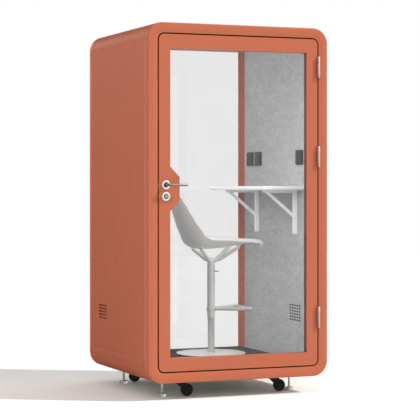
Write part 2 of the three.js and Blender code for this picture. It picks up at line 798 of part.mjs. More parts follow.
// Desk
function deskTop() {
  const y = FRONT + DESK_SETBACK;
  const [x0, x1] = [WALL_FACE - DESK_DEPTH, WALL_FACE - FIT];
  const board = roundedRect(x0, y, x1 + DESK_CORNER, y + DESK_LENGTH, DESK_CORNER);
  const top = FLOOR + DESK_HEIGHT;
  const beyond = box(x1, x1 + 2 * DESK_CORNER, y - 1, y + DESK_LENGTH + 1, top - DESK_THICK - 1, top + 1);
  return cut(alongZ(board, top - DESK_THICK, top, 4), beyond);
}

function deskBracket(y) {
  const top = FLOOR + DESK_HEIGHT - DESK_THICK - FIT;
  const wall = WALL_FACE - FIT;
  const [legDepth, legWidth, legHeight] = BRACKET_LEG;
  const [armReach, armWidth, armHeight] = BRACKET_ARM;
  const leg = box(wall - legDepth, wall, y - legWidth / 2, y + legWidth / 2, top - legHeight, top);
  const arm = box(wall - armReach, wall - 1, y - armWidth / 2, y + armWidth / 2, top - armHeight, top);
  const foot = [wall - legDepth / 2, top - BRACKET_FOOT];
  const head = [wall - BRACKET_HEAD, top - armHeight / 2];
  const angle = Math.atan2(head[1] - foot[1], head[0] - foot[0]);
  const across = BRACKET_STRUT / 2;
  const [dx, dz] = [across * Math.sin(angle), across * Math.cos(angle)];
  const strut = polygon([
    [foot[0] + dx, foot[1] - dz],
    [head[0] + dx, head[1] - dz],
    [head[0] - dx, head[1] + dz],
    [foot[0] - dx, foot[1] + dz],
  ]);
  const above = box(wall - 2 * armReach, wall + 1, y - legWidth, y + legWidth, top, top + 4 * across);
  return cut(join(leg, arm, alongY(strut, y - across, y + across)), above);
}

// Wall plates for power and controls
function wallPlate(y) {
  const [length, height, thick] = PLATE;
  const z = FLOOR + PLATE_RISES;
  const face = WALL_FACE - thick;
  const outline = (l, h, r) => roundedRect(y - l / 2, z - h / 2, y + l / 2, z + h / 2, r);
  const plate = alongX(outline(length, height, PLATE_CORNER), face + 2, WALL_FACE - FIT, 2);
  const front = alongX(outline(length - 4, height - 4, PLATE_CORNER - 2), face, face + 3, 2);
  const recess = alongX(outline(PLATE_INSERT, PLATE_INSERT, 4), face - 1, face + PLATE_RECESS, 1);
  return cut(plate.add(front), recess);
}

// Fan in the duct of the right wall, drawn round its axis with the air along +Z
function fanHousing() {
  const half = FAN / 2;
  const frame = cut(
    alongZ(roundedRect(-half, -half, half, half, 6), 0, FAN_DEPTH, 3),
    rodZ(FAN_BORE, 0, 0, -1, FAN_DEPTH + 1, 24),
  );
  const boss = rodZ(FAN_HUB - 2, 0, 0, 0, 4);
  const struts = [0, 1, 2].map((i) => {
    const strut = box(0, FAN_BORE + 1, -2.5, 2.5, 0, 3);
    return strut.rotate([0, 0, 90 + 120 * i]);
  });
  return cut(join(frame, boss, ...struts), rodZ(3 + FIT, 0, 0, -1, 5, SMALL));
}

function fanRotor() {
  const low = 4 + FAN_GAP;
  const high = FAN_DEPTH - 2;
  const hub = turned(
    [
      [0, low],
      [FAN_HUB, low],
      [FAN_HUB, high - 3],
      [FAN_HUB - 3, high],
      [0, high],
    ],
    ROUND,
  );
  const shaft = rodZ(3, 0, 0, 0.5, low + 1, SMALL);
  const middle = (low + high) / 2;
  const chord = (high - low - 2) / Math.sin(BLADE_PITCH);
  const blades = Array.from({ length: FAN_BLADES }, (_, i) => {
    const blade = box(FAN_HUB - 3, FAN_BORE - FAN_GAP - 4, -chord / 2, chord / 2, -1, 1);
    const tilted = blade.rotate([(BLADE_PITCH * 180) / Math.PI, 0, 0]).translate([0, 0, middle]);
    return tilted.rotate([0, 0, (360 * i) / FAN_BLADES]);
  });
  const sweepLimit = rodZ(FAN_BORE - FAN_GAP, 0, 0, low, high, 32);
  return join(hub, shaft, ...blades.map((blade) => blade.intersect(sweepLimit)));
}

// Caster, drawn round its swivel axis from the ground up, with the wheel trailing along +X
function casterWheel() {
  const half = WHEEL_WIDTH / 2;
  const bore = AXLE + FIT;
  const profile = [
    [bore, -half],
    [WHEEL * 0.45, -half],
    [WHEEL * 0.8, -half + 2],
    [WHEEL, -half + 3],
    [WHEEL, half - 3],
    [WHEEL * 0.8, half - 2],
    [WHEEL * 0.45, half],
    [bore, half],
    [bore, -half],
  ];
  return turned(profile, 16).rotate([-90, 0, 0]);
}

function casterFork() {
  const axleZ = WHEEL + WHEEL_LIFT;
  const top = PAD_FACE - FIT;
  const shoulder = axleZ + WHEEL + CHEEK_GAP + 1;
  const inner = WHEEL_WIDTH / 2 + CHEEK_GAP;
  const outer = inner + CHEEK;
  const head = turned(
    [
      [0, shoulder],
      [FORK_HEAD - 4, shoulder],
      [FORK_HEAD, shoulder + 4],
      [FORK_HEAD, top],
      [0, top],
    ],
    SMALL,
  );
  const cheek = new THREE.Shape();
  cheek.moveTo(-FORK_HEAD * 0.8, top - 8);
  cheek.lineTo(-FORK_HEAD * 0.8, shoulder);
  cheek.lineTo(CASTER_TRAIL - 12, axleZ - 6);
  cheek.absarc(CASTER_TRAIL, axleZ, 13, Math.PI * 1.15, Math.PI * 0.35);
  cheek.lineTo(FORK_HEAD * 0.9, shoulder);
  cheek.lineTo(FORK_HEAD * 0.8, top - 8);
  const cheeks = [alongY(cheek, -outer, -inner, 3), alongY(cheek, inner, outer, 3)];
  const crown = box(-FORK_HEAD * 0.8, FORK_HEAD * 0.8, -outer, outer, shoulder, top - 8);
  const axle = rodY(AXLE, CASTER_TRAIL, axleZ, -outer - 2, outer + 2, 8);
  const kingpin = rodZ(KINGPIN, 0, 0, top - 4, PAD_FACE + 10, 8);
  return join(head, crown, ...cheeks, axle, kingpin);
}

function levellingFoot() {
  const pad = FOOT_PAD_THICK;
  return turned(
    [
      [0, 0],
      [FOOT_PAD - 2, 0],
      [FOOT_PAD, 2],
      [FOOT_PAD, pad - 4],
      [FOOT_PAD - 3, pad - 1],
      [FOOT_STEM + 5, pad],
      [FOOT_STEM, pad + 5],
      [FOOT_STEM, BASE + FOOT_REACH],
      [0, BASE + FOOT_REACH],
    ],
    SMALL,
  );
}

// Stool, drawn round its column with the floor at 0 and the seat facing +X
function stoolBase() {
  return turned(
    [
      [0, FIT],
      [STOOL_BASE, FIT],
      [STOOL_BASE, STOOL_PLATE - 4],
      [STOOL_BASE - 6, STOOL_PLATE],
      [POST + 8, STOOL_PLATE + 1],
      [POST, STOOL_PLATE + 6],
      [POST, POST_TOP],
      [0, POST_TOP],
    ],
    32,
  );
}

function stoolColumn() {
  const sleeve = turned([
    [0, SLEEVE_FROM],
    [SLEEVE - 2, SLEEVE_FROM],
    [SLEEVE, SLEEVE_FROM + 6],
    [SLEEVE, SLEEVE_TO - 2],
    [SLEEVE - 1, SLEEVE_TO],
    [0, SLEEVE_TO],
  ]);
  const at = (x, y) => new THREE.Vector3(x, y, FOOTREST_RISE);
  const loop = bentBar(
    [
      at(0, -SLEEVE / 2),
      at(FOOTREST_REACH - 12, -FOOTREST_HALF),
      at(FOOTREST_REACH, -FOOTREST_HALF + 26),
      at(FOOTREST_REACH, FOOTREST_HALF - 26),
      at(FOOTREST_REACH - 12, FOOTREST_HALF),
      at(0, SLEEVE / 2),
    ],
    12,
    FOOTREST_TUBE,
    8,
    2,
  );
  const bore = rodZ(POST + FIT, 0, 0, SLEEVE_FROM - 1, SLEEVE_TO + 1, 32);
  const half = HANDLE_HALF + FIT;
  const window = box(0, SLEEVE + 5, -half, half, HANDLE_RISE - 6, HANDLE_RISE + 6);
  return cut(sleeve.add(loop), bore, window.rotate([0, 0, HANDLE_ANGLE]));
}

// Release handle: a thin flat paddle through the sleeve's window, drawn along +X
function stoolHandle() {
  const [root, end, half] = [POST + 1, SLEEVE + HANDLE_LENGTH, HANDLE_HALF];
  const paddle = polygon([
    [root, -half],
    [SLEEVE + 2, -half],
    [end - 8, -half - 2],
    [end, -half],
    [end, half],
    [end - 8, half + 2],
    [SLEEVE + 2, half],
    [root, half],
  ]);
  return alongZ(paddle, -2.5, 2.5);
}

// Seat: a lofted shell whose middle line runs from the front lip to the top of the back.
// Each station has its place on that line, the half width there and the rise of the rim.
const SEAT_STATIONS = [
  { x: 312, z: 724, half: 118, rise: 2 },
  { x: 300, z: 744, half: 160, rise: 6 },
  { x: 245, z: 752, half: 190, rise: 12 },
  { x: 150, z: 745, half: 205, rise: 20 },
  { x: 40, z: 728, half: 209, rise: 30 },
  { x: -65, z: 717, half: 206, rise: 44 },
  { x: -130, z: 736, half: 201, rise: 54 },
  { x: -168, z: 790, half: 192, rise: 48 },
  { x: -200, z: 862, half: 178, rise: 38 },
  { x: -236, z: 955, half: 158, rise: 28 },
  { x: -264, z: 1032, half: 130, rise: 16 },
  { x: -275, z: 1062, half: 92, rise: 8 },
];
const SEAT_LENGTHS = 22;
const SEAT_WIDTHS = 8;

function spline(key) {
  const last = SEAT_STATIONS.length - 1;
  const curve = new THREE.SplineCurve(
    SEAT_STATIONS.map((station, i) => new THREE.Vector2(i / last, station[key])),
  );
  return (u) => curve.getPoint(u).y;
}
const seatX = spline("x");
const seatZ = spline("z");
const seatHalf = spline("half");
const seatRise = spline("rise");

// A point of the seat's top face moved along its normal; v runs across from -1 to 1
function seatPoint(u, v, lift) {
  const step = 1e-3;
  const [a, b] = [Math.max(0, u - step), Math.min(1, u + step)];
  const tangent = new THREE.Vector2(seatX(b) - seatX(a), seatZ(b) - seatZ(a)).normalize();
  const normal = new THREE.Vector2(tangent.y, -tangent.x);
  const up = seatRise(u) * Math.abs(v) ** 2.4 + lift;
  return [seatX(u) + normal.x * up, seatHalf(u) * v, seatZ(u) + normal.y * up];
}

function seatLoft(above, below) {
  const row = SEAT_WIDTHS + 1;
  const count = (SEAT_LENGTHS + 1) * row;
  const positions = [];
  [above, -below].forEach((lift) => {
    for (let i = 0; i <= SEAT_LENGTHS; i += 1) {
      for (let j = 0; j <= SEAT_WIDTHS; j += 1) {
        positions.push(...seatPoint(i / SEAT_LENGTHS, (2 * j) / SEAT_WIDTHS - 1, lift));
      }
    }
  });
  const faces = [];
  const quad = (a, b, c, d) => faces.push(a, b, c, a, c, d);
  for (let i = 0; i < SEAT_LENGTHS; i += 1) {
    for (let j = 0; j < SEAT_WIDTHS; j += 1) {
      const at = i * row + j;
      quad(at, at + 1, at + row + 1, at + row);
      quad(count + at, count + at + row, count + at + row + 1, count + at + 1);
    }
    const edge = i * row;
    quad(edge, edge + row, count + edge + row, count + edge);
    const far = edge + SEAT_WIDTHS;
    quad(far, count + far, count + far + row, far + row);
  }
  const end = SEAT_LENGTHS * row;
  for (let j = 0; j < SEAT_WIDTHS; j += 1) {
    quad(j, count + j, count + j + 1, j + 1);
    quad(end + j, end + j + 1, count + end + j + 1, count + end + j);
  }
  const geometry = new THREE.BufferGeometry();
  geometry.setAttribute("position", new THREE.Float32BufferAttribute(positions, 3));
  geometry.setIndex(faces);
  return solid(geometry);
}

// Hub with a stub in the sleeve and four arms that rise to the seat's underside
function seatFrame() {
  const hub = turned([
    [0, SLEEVE_TO - STUB],
    [POST, SLEEVE_TO - STUB],
    [POST, SLEEVE_TO + FIT],
    [SLEEVE, SLEEVE_TO + FIT],
    [SLEEVE, HUB_TOP - 18],
    [SLEEVE - 8, HUB_TOP],
    [0, HUB_TOP],
  ]);
  const arms = ARM_ENDS.map(([x, y]) => {
    const path = new THREE.CubicBezierCurve3(
      new THREE.Vector3(x * 0.03, y * 0.05, HUB_TOP - 18),
      new THREE.Vector3(x * 0.4, y * 0.45, HUB_TOP - 2),
      new THREE.Vector3(x * 0.95, y * 0.95, HUB_TOP + 40),
      new THREE.Vector3(x, y, HUB_TOP + 130),
    );
    return solid(sweep(path, roundSection(...ARM, 8), 5));
  });
  return cut(join(hub, ...arms), seatLoft(60, SEAT_SHELL + FIT));
}

// Assembly
const pod = new THREE.Group();
pod.position.y = FRONT_REACH / 2;

place(pod, "roof_cover", roofCover(), TERRACOTTA);
place(pod, "base_tray", baseTray(), TERRACOTTA);
place(pod, "left_side_skin", sideSkin(-1), TERRACOTTA);
place(pod, "right_side_skin", sideSkin(1), TERRACOTTA);
place(pod, "front_frame", frontFrame(), TERRACOTTA);
place(pod, "rear_frame", rearFrame(), TERRACOTTA);
place(pod, "rear_glass", rearGlass(), CLEAR);
place(pod, "door_seal", doorSeal(), RUBBER);
place(pod, "strike_plate", strikePlate(), STEEL);
place(pod, "left_core", wallCore(-1), WOOL);
place(pod, "right_core", wallCore(1), WOOL);
place(pod, "left_felt_panel", feltPanel(-1), FELT_GREY);
place(pod, "right_felt_panel", feltPanel(1), FELT_GREY);
place(pod, "ceiling_panel", ceilingPanel(), FELT_GREY);
place(pod, "ceiling_light", ceilingLight(), LAMP);
place(pod, "floor_deck", floorDeck(), BOARD);
place(pod, "carpet", carpet(), CARPET_GREY);
place(pod, "chassis", chassis(), BLACK);
place(pod, "desk_top", deskTop(), WHITE);
place(pod, "desk_bracket_front", deskBracket(-BRACKET_SPREAD), WHITE);
place(pod, "desk_bracket_rear", deskBracket(BRACKET_SPREAD), WHITE);
Object.entries(PLATE_PLACES).forEach(([name, y]) => {
  place(pod, name, wallPlate(y), PLATE_GREY);
});

// Fan across the right wall, blowing out through the skin
const fan = new THREE.Group();
fan.rotation.y = Math.PI / 2;
fan.position.set(WALL_FACE + FELT + 30, ventY(1), VENT_Z);
place(fan, "fan_housing", fanHousing(), BLACK);
place(fan, "fan_rotor", fanRotor(), BLACK);
pod.add(fan);

place(pod, "door_frame", doorFrame(), TERRACOTTA);
place(pod, "door_glass", doorGlass(), CLEAR);
place(pod, "lock_case", lockCase(), STEEL);
place(pod, "latch_bolt", latchBolt(), STEEL);
place(pod, "dead_bolt", deadBolt(), STEEL);

[...HINGE_RISES, HEIGHT - BASE - HINGE_DROP].forEach((rise, i) => {
  const hinge = new THREE.Group();
  hinge.position.set(DOOR_SIDE + DOOR_GAP / 2, FRONT - BARREL - FIT, BASE + rise);
  place(hinge, `hinge_frame_leaf_${i + 1}`, hingeFrameLeaf(), STEEL);
  place(hinge, `hinge_door_leaf_${i + 1}`, hingeDoorLeaf(), STEEL);
  pod.add(hinge);
});

// Outside furniture faces -Y and inside furniture +Y
const outside = new THREE.Group();
outside.rotation.x = Math.PI / 2;
outside.position.set(LEVER_X, FRONT, LEVER_Z);
const spindle = box(-SPINDLE / 2, SPINDLE / 2, -SPINDLE / 2, SPINDLE / 2, -DOOR_THICK - 20, FIT + 1);
place(outside, "lever_rose", rose(NECK + FIT), STEEL);
place(outside, "lever_front", leverBody().add(spindle), STEEL);
const cylinder = place(outside, "cylinder_rose", cylinderRose(), STEEL);
cylinder.position.y = -CYLINDER_DROP;
pod.add(outside);

const inside = new THREE.Group();
inside.rotation.x = -Math.PI / 2;
inside.position.set(LEVER_X, DOOR_BACK, LEVER_Z);
const socket = SPINDLE / 2 + FIT;
const lever = cut(leverBody(), box(-socket, socket, -socket, socket, -1, 21));
place(inside, "lever_back", lever, STEEL);
place(inside, "lock_backplate", lockBackplate().mirror([0, 1, 0]), STEEL);
const thumb = place(inside, "thumb_turn", thumbTurn(), STEEL);
thumb.position.y = CYLINDER_DROP;
pod.add(inside);

Object.keys(CASTER_HEADINGS).forEach((corner, i) => {
  const [x, y] = CASTERS[i];
  const caster = new THREE.Group();
  caster.position.set(x, y, 0);
  caster.rotation.z = THREE.MathUtils.degToRad(CASTER_HEADINGS[corner]);
  place(caster, `caster_fork_${corner}`, casterFork(), BLACK);
  const wheel = place(caster, `caster_wheel_${corner}`, casterWheel(), BLACK);
  wheel.position.set(CASTER_TRAIL, 0, WHEEL + WHEEL_LIFT);
  pod.add(caster);
  const foot = place(pod, `levelling_foot_${corner}`, levellingFoot(), CHROME);
  foot.position.set(FEET[i][0], FEET[i][1], 0);
});

const stool = new THREE.Group();
stool.position.set(WALL_FACE - STOOL_TO_WALL, REAR - STOOL_TO_REAR, FLOOR);
place(stool, "stool_base", stoolBase(), STOOL_GREY);
place(stool, "stool_column", stoolColumn(), STOOL_GREY);
place(stool, "stool_seat_frame", seatFrame(), STOOL_GREY);
place(stool, "stool_seat_shell", seatLoft(0, SEAT_SHELL), STOOL_GREY);
const handle = place(stool, "stool_height_handle", stoolHandle(), BLACK);
handle.rotation.z = THREE.MathUtils.degToRad(HANDLE_ANGLE);
handle.position.z = HANDLE_RISE;
pod.add(stool);

export default pod;
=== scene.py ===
from math import atan, cos, pi, radians, sin, tan

import bmesh
import bpy
from mathutils import Matrix, Vector, noise
from mathutils.geometry import tessellate_polygon


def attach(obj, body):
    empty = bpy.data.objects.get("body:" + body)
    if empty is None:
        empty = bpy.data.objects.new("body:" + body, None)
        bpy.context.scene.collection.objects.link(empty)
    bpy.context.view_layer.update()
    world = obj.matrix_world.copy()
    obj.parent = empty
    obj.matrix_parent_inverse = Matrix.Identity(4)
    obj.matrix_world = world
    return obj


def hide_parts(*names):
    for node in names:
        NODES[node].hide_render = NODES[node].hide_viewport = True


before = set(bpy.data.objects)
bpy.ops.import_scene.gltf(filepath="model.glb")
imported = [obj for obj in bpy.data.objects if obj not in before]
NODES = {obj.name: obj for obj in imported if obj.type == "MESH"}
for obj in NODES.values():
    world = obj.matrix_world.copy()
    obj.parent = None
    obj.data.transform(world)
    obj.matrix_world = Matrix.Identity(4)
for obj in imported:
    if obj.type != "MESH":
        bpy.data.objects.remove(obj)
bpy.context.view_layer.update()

MM = 0.001

# Sizes in millimetres, in the row frame
SIDE = 605
BASE = 105
TOP = 2300
CORNER = 97
SKIN = 1.5
FRONT = -537
FRAME_BACK = -472
STOP_Y = -489
DOOR_BACK = -493
DOOR_MIDDLE = -515
INNER_FRONT = -471.7
INNER_BACK = 557.7
DECK = 182.3
FLOOR = 190
CEIL = 2230
WALL_FACE = 510
LEVER_X = -489
LEVER_Z = 1311
CYLINDER_Z = 1241
HINGE_X = 538
HINGE_Y = -546.3
HINGE_Z = (477, 1489, 2053)
STOOL_X = 109
STOOL_Y = 193
VENT_Y = 284
VENT_Z = 486
MIDDLE_Y = 28
CASTER_AT = (315, 390)
FOOT_AT = (436, 356)
SIDES = ((-1, "left"), (1, "right"))
CORNERS = {"front_left": (-1, -1), "front_right": (1, -1), "rear_left": (-1, 1), "rear_right": (1, 1)}

shift = Matrix.Translation


def at_corner(spot, sx, sy):
    """The place of a caster or a foot, from its distances to the cabin's middle."""
    return spot[0] * sx, MIDDLE_Y + spot[1] * sy


# Meshes


class Shape:
    """Vertices and faces in millimetres, gathered part by part."""

    def __init__(self):
        self.points = []
        self.faces = []

    def add(self, points, faces):
        start = len(self.points)
        self.points += [tuple(p) for p in points]
        self.faces += [tuple(start + i for i in f) for f in faces]
        return self

    def skin(self, loops, closed=False, caps=True):
        """Quads between loops of equal length; closed joins the last loop to the first."""
        n = len(loops[0])
        rows = len(loops)
        faces = []
        for i in range(rows if closed else rows - 1):
            a = i * n
            b = (i + 1) % rows * n
            faces += [(a + j, a + (j + 1) % n, b + (j + 1) % n, b + j) for j in range(n)]
        if caps and not closed:
            faces.append(tuple(range(n - 1, -1, -1)))
            faces.append(tuple(range((rows - 1) * n, rows * n)))
        return self.add([p for loop in loops for p in loop], faces)

    def turn(self, profile, segments, place=None, closed=False):
        """A profile of (radius, height) turned about Z, then placed."""
        place = place or Matrix()
        ring = [(cos(2 * pi * k / segments), sin(2 * pi * k / segments)) for k in range(segments)]
        loops = [[place @ Vector((r * c, r * s, h)) for c, s in ring] for r, h in profile]
        return self.skin(loops, closed=closed)

    def tube(self, path, radii, sides):
        """A tube along points, with one radius for each."""
        turns = [2 * pi * k / sides for k in range(sides)]
        loops = []
        across = None
        for i, (p, r) in enumerate(zip(path, radii)):
            along = (path[min(i + 1, len(path) - 1)] - path[max(i - 1, 0)]).normalized()
            if across is None:
                guide = Vector((0, 0, 1)) if abs(along.z) < 0.9 else Vector((0, 1, 0))
                across = along.cross(guide).normalized()
            across = (across - along * across.dot(along)).normalized()
            up = across.cross(along)
            loops.append([p + r * (across * cos(t) + up * sin(t)) for t in turns])
        return self.skin(loops)

    def sheet(self, outline, holes, low, high, place):
        """A flat plate with holes; place turns (u, v, height) into a point."""
        rings = [outline, *holes]
        flat = [p for ring in rings for p in ring]
        n = len(flat)
        faces = []
        for a, b, c in tessellate_polygon([[Vector((u, v, 0)) for u, v in ring] for ring in rings]):
            faces += [(a, b, c), (n + c, n + b, n + a)]
        start = 0
        for ring in rings:
            m = len(ring)
            for j in range(m):
                a = start + j
                b = start + (j + 1) % m
                faces.append((a, b, n + b, n + a))
            start += m
        points = [place(u, v, low) for u, v in flat] + [place(u, v, high) for u, v in flat]
        return self.add(points, faces)

    def lip(self, slot, section, place):
        """A lip round a slot of (u, v, length, height, steps); section is (growth, height)."""
        u, v, length, height, steps = slot
        loops = []
        for grow, h in section:
            outline = slot_outline(u, v, length + grow, height + grow, steps)
            loops.append([place(a, b, h) for a, b in outline])
        self.skin(loops, closed=True)

    def block(self, low, high):
        (x0, y0, z0), (x1, y1, z1) = low, high
        loops = [[(x0, y0, z), (x1, y0, z), (x1, y1, z), (x0, y1, z)] for z in (z0, z1)]
        return self.skin(loops)


def level(u, v, h):
    """Places a flat sheet as it is drawn, lying level."""
    return (u, v, h)


def rounded(x0, x1, z0, z1, radii, steps):
    """Corner points of a rounded rectangle, counter-clockwise from the lower right."""
    if not isinstance(radii, (list, tuple)):
        radii = [radii] * 4
    points = []
    for k, (sx, sz) in enumerate(((1, -1), (1, 1), (-1, 1), (-1, -1))):
        r = radii[k]
        cx = x1 - r if sx > 0 else x0 + r
        cz = z1 - r if sz > 0 else z0 + r
        for i in range(steps + 1):
            a = radians(-90 + 90 * k + 90 * i / steps)
            points.append((cx + r * cos(a), cz + r * sin(a)))
    return points


def slot_outline(u, v, length, height, steps):
    r = height / 2 - 1e-3
    return rounded(u - length / 2, u + length / 2, v - height / 2, v + height / 2, r, steps)


def bend(points, radius, steps):
    """A line through points with its inner corners rounded."""
    points = [Vector(p) for p in points]
    path = [points[0]]
    for a, b, c in zip(points, points[1:], points[2:]):
        into = (a - b).normalized()
        out = (c - b).normalized()
        half = into.angle(out) / 2
        reach = radius / max(1e-6, abs(sin(half) / cos(half)))
        start = b + into * reach
        end = b + out * reach
        for i in range(steps + 1):
            t = i / steps
            path.append(start * (1 - t) ** 2 + b * 2 * t * (1 - t) + end * t**2)
    return path + [points[-1]]


def circle(x, y, radius, steps):
    turns = [2 * pi * k / steps for k in range(steps)]
    return [(x + radius * cos(t), y + radius * sin(t)) for t in turns]


def arc(cx, cz, radius, start, end, steps):
    turns = [radians(start + (end - start) * i / steps) for i in range(steps + 1)]
    return [(cx + radius * cos(t), cz + radius * sin(t)) for t in turns]


SOFT_ANGLE = 35
WELD = 1e-6


def tidy(mesh, angle, whole=False):
    """Outward normals, smooth faces, and sharp edges above the angle; whole joins coplanar faces first."""
    bm = bmesh.new()
    bm.from_mesh(mesh)
    bmesh.ops.remove_doubles(bm, verts=bm.verts, dist=WELD)
    if whole:
        bmesh.ops.dissolve_limit(bm, angle_limit=radians(0.5), verts=bm.verts, edges=bm.edges)
    bmesh.ops.recalc_face_normals(bm, faces=bm.faces)
    bm.to_mesh(mesh)
    bm.free()
    mesh.polygons.foreach_set("use_smooth", [True] * len(mesh.polygons))
    mesh.set_sharp_from_angle(angle=radians(angle))


def linked(name, data):
    obj = bpy.data.objects.new(name, data)
    bpy.context.scene.collection.objects.link(obj)
    return obj


def to_object(name, shape, angle=SOFT_ANGLE):
    mesh = bpy.data.meshes.new(name)
    mesh.from_pydata([(x * MM, y * MM, z * MM) for x, y, z in shape.points], [], shape.faces)
    tidy(mesh, angle)
    return linked(name, mesh)


def ease(obj, width, steps=2):
    """Rounds the sharp edges by a width in millimetres."""
    mod = obj.modifiers.new("ease", "BEVEL")
    mod.width = width * MM
    mod.segments = steps
    mod.limit_method = "ANGLE"
    mod.angle_limit = radians(40)
    mod.harden_normals = True


def settle(obj, body, finish, nodes, width=0.0, steps=2):
    """Gives a piece the material of its finish, a pair of record slot and material whose slot is not used
    here, eases its edges, sets it on its body and hides the nodes it stands for.
    """
    slot, material = finish
    obj.data.materials.clear()
    obj.data.materials.append(material)
    if width:
        ease(obj, width, steps)
    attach(obj, body)
    if nodes:
        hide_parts(*nodes)


def piece(name, shape, body, finish, *nodes, width=0.0, angle=SOFT_ANGLE):
    settle(to_object(name, shape, angle), body, finish, nodes, width)


def refined(node, body, finish, width, steps=2):
    """A copy of a CAD node with whole faces and eased edges."""
    mesh = NODES[node].data.copy()
    mesh.name = node + "_piece"
    tidy(mesh, SOFT_ANGLE, whole=True)
    settle(linked(mesh.name, mesh), body, finish, (node,), width, steps)


def baked(obj):
    """Replaces the object's mesh by what its modifiers make of it."""
    bpy.context.view_layer.update()
    graph = bpy.context.evaluated_depsgraph_get()
    mesh = bpy.data.meshes.new_from_object(obj.evaluated_get(graph))
    obj.modifiers.clear()
    old = obj.data
    obj.data = mesh
    bpy.data.meshes.remove(old)


def carve(obj, tools):
    """Cuts a shape out of an object."""
    tool = to_object("tool", tools)
    mod = obj.modifiers.new("cut", "BOOLEAN")
    mod.object = tool
    mod.operation = "DIFFERENCE"
    mod.solver = "EXACT"
    baked(obj)
    old = tool.data
    bpy.data.objects.remove(tool)
    bpy.data.meshes.remove(old)
    tidy(obj.data, SOFT_ANGLE)


# Finishes


class Nodes:
    """Short calls that build a node tree."""

    def __init__(self, tree):
        self.tree = tree

    def node(self, kind, values=None, sources=None, **settings):
        """A node with its settings, the values of some inputs and the outputs that feed others."""
        made = self.tree.nodes.new(kind)
        for key, value in settings.items():
            setattr(made, key, value)
        for key, value in (values or {}).items():
            made.inputs[key].default_value = value
        for key, source in (sources or {}).items():
            self.link(source, made.inputs[key])
        return made

    def feed(self, kind, values=None, sources=None, out=0, **settings):
        """One output of a new node."""
        return self.node(kind, values, sources, **settings).outputs[out]

    def link(self, a, b):
        self.tree.links.new(a, b)

    def span(self, factor, low, high, start=0.3, end=0.7):
        """Takes start..end to low..high."""
        limits = {"From Min": start, "From Max": end, "To Min": low, "To Max": high}
        return self.feed("ShaderNodeMapRange", limits, {"Value": factor})


class Finish(Nodes):
    """A procedural material round one Principled shader."""

    def __init__(self, name, **values):
        self.material = bpy.data.materials.new(name)
        self.material.use_nodes = True
        super().__init__(self.material.node_tree)
        self.surface = self.tree.nodes["Principled BSDF"]
        self.place = self.feed("ShaderNodeTexCoord", out="Object")
        for key, value in values.items():
            self.surface.inputs[key.replace("_", " ")].default_value = value

    def stretched(self, scale):
        return self.feed("ShaderNodeMapping", {"Scale": scale}, {"Vector": self.place})

    def noise(self, scale, detail=2.0, rough=0.5, where=None, distortion=0.0):
        values = {"Scale": scale, "Detail": detail, "Roughness": rough, "Distortion": distortion}
        return self.feed("ShaderNodeTexNoise", values, {"Vector": where or self.place})

    def cells(self, scale, feature="F1"):
        return self.feed("ShaderNodeTexVoronoi", {"Scale": scale}, {"Vector": self.place}, feature=feature)

    def ramp(self, factor, *stops):
        made = self.node("ShaderNodeValToRGB", None, {"Fac": factor})
        band = made.color_ramp
        while len(band.elements) < len(stops):
            band.elements.new(0.5)
        for element, (at, colour) in zip(band.elements, stops):
            element.position = at
            element.color = (*colour, 1)
        return made.outputs["Color"]

    def mixed(self, factor, a, b):
        """From a to b; b may be a colour."""
        made = self.node("ShaderNodeMix", None, {0: factor}, data_type="RGBA")
        for key, value in ((6, a), (7, b)):
            if isinstance(value, tuple):
                made.inputs[key].default_value = (*value, 1)
            else:
                self.link(value, made.inputs[key])
        return made.outputs[2]

    def tinted(self, a, b, amount=1.0):
        """a times b, by an amount."""
        settings = {"data_type": "RGBA", "blend_type": "MULTIPLY"}
        return self.feed("ShaderNodeMix", {0: amount}, {6: a, 7: b}, 2, **settings)

    def total(self, a, b, share=0.5):
        """a plus a share of b."""
        return self.feed("ShaderNodeMath", {1: share}, {0: b, 2: a}, operation="MULTIPLY_ADD")

    def openness(self, reach):
        """1 on open faces, less in gaps narrower than the reach."""
        return self.feed("ShaderNodeAmbientOcclusion", {"Distance": reach * MM}, out="AO", samples=8)

    def colour(self, source):
        self.link(source, self.surface.inputs["Base Color"])

    def rough(self, source):
        self.link(source, self.surface.inputs["Roughness"])

    def relief(self, height, strength, depth):
        values = {"Strength": strength, "Distance": depth * MM}
        self.link(self.feed("ShaderNodeBump", values, {"Height": height}), self.surface.inputs["Normal"])
        return self.material


def shade(colour, factor):
    return tuple(c * factor for c in colour)


def coated(name, colour, rough, grain=900.0, depth=0.03, spread=0.04, grime=0.0, **values):
    """Powder coat: faint cloudiness, a fine orange-peel relief, and painted shade: a dark red mixed in where
    gaps are narrower than its reach.
    """
    f = Finish(name, **values)
    cloud = f.noise(1.3)
    peel = f.noise(grain, 2.0, 0.55)
    both = f.total(peel, cloud, 0.35)
    tone = f.ramp(both, (0.35, shade(colour, 1 - spread)), (1.0, shade(colour, 1 + spread)))
    # Painted shade: dark red where ambient occlusion finds a narrow gap, such as round the door
    if grime:
        tone = f.mixed(f.span(f.openness(grime), 0.0, 1.0, 0.2, 0.75), GAP_SHADE_COLOUR, tone)
    f.colour(tone)
    f.rough(f.span(f.noise(14.0, 4.0), rough - 0.05, rough + 0.05))
    return f.relief(peel, 0.25, depth)


def metal(name, colour, rough, lines, depth=0.01, along=(1.0, 1.0, 30.0), share=1.0):
    """Bare or plated metal with fine grinding lines; share is how far it is a bare mirror."""
    f = Finish(name, Metallic=share)
    brush = f.noise(lines, 3.0, 0.6, f.stretched(along))
    f.colour(f.ramp(brush, (0.25, shade(colour, 0.9)), (0.75, colour)))
    f.rough(f.span(brush, rough - 0.04, rough + 0.06))
    return f.relief(brush, 0.12, depth)


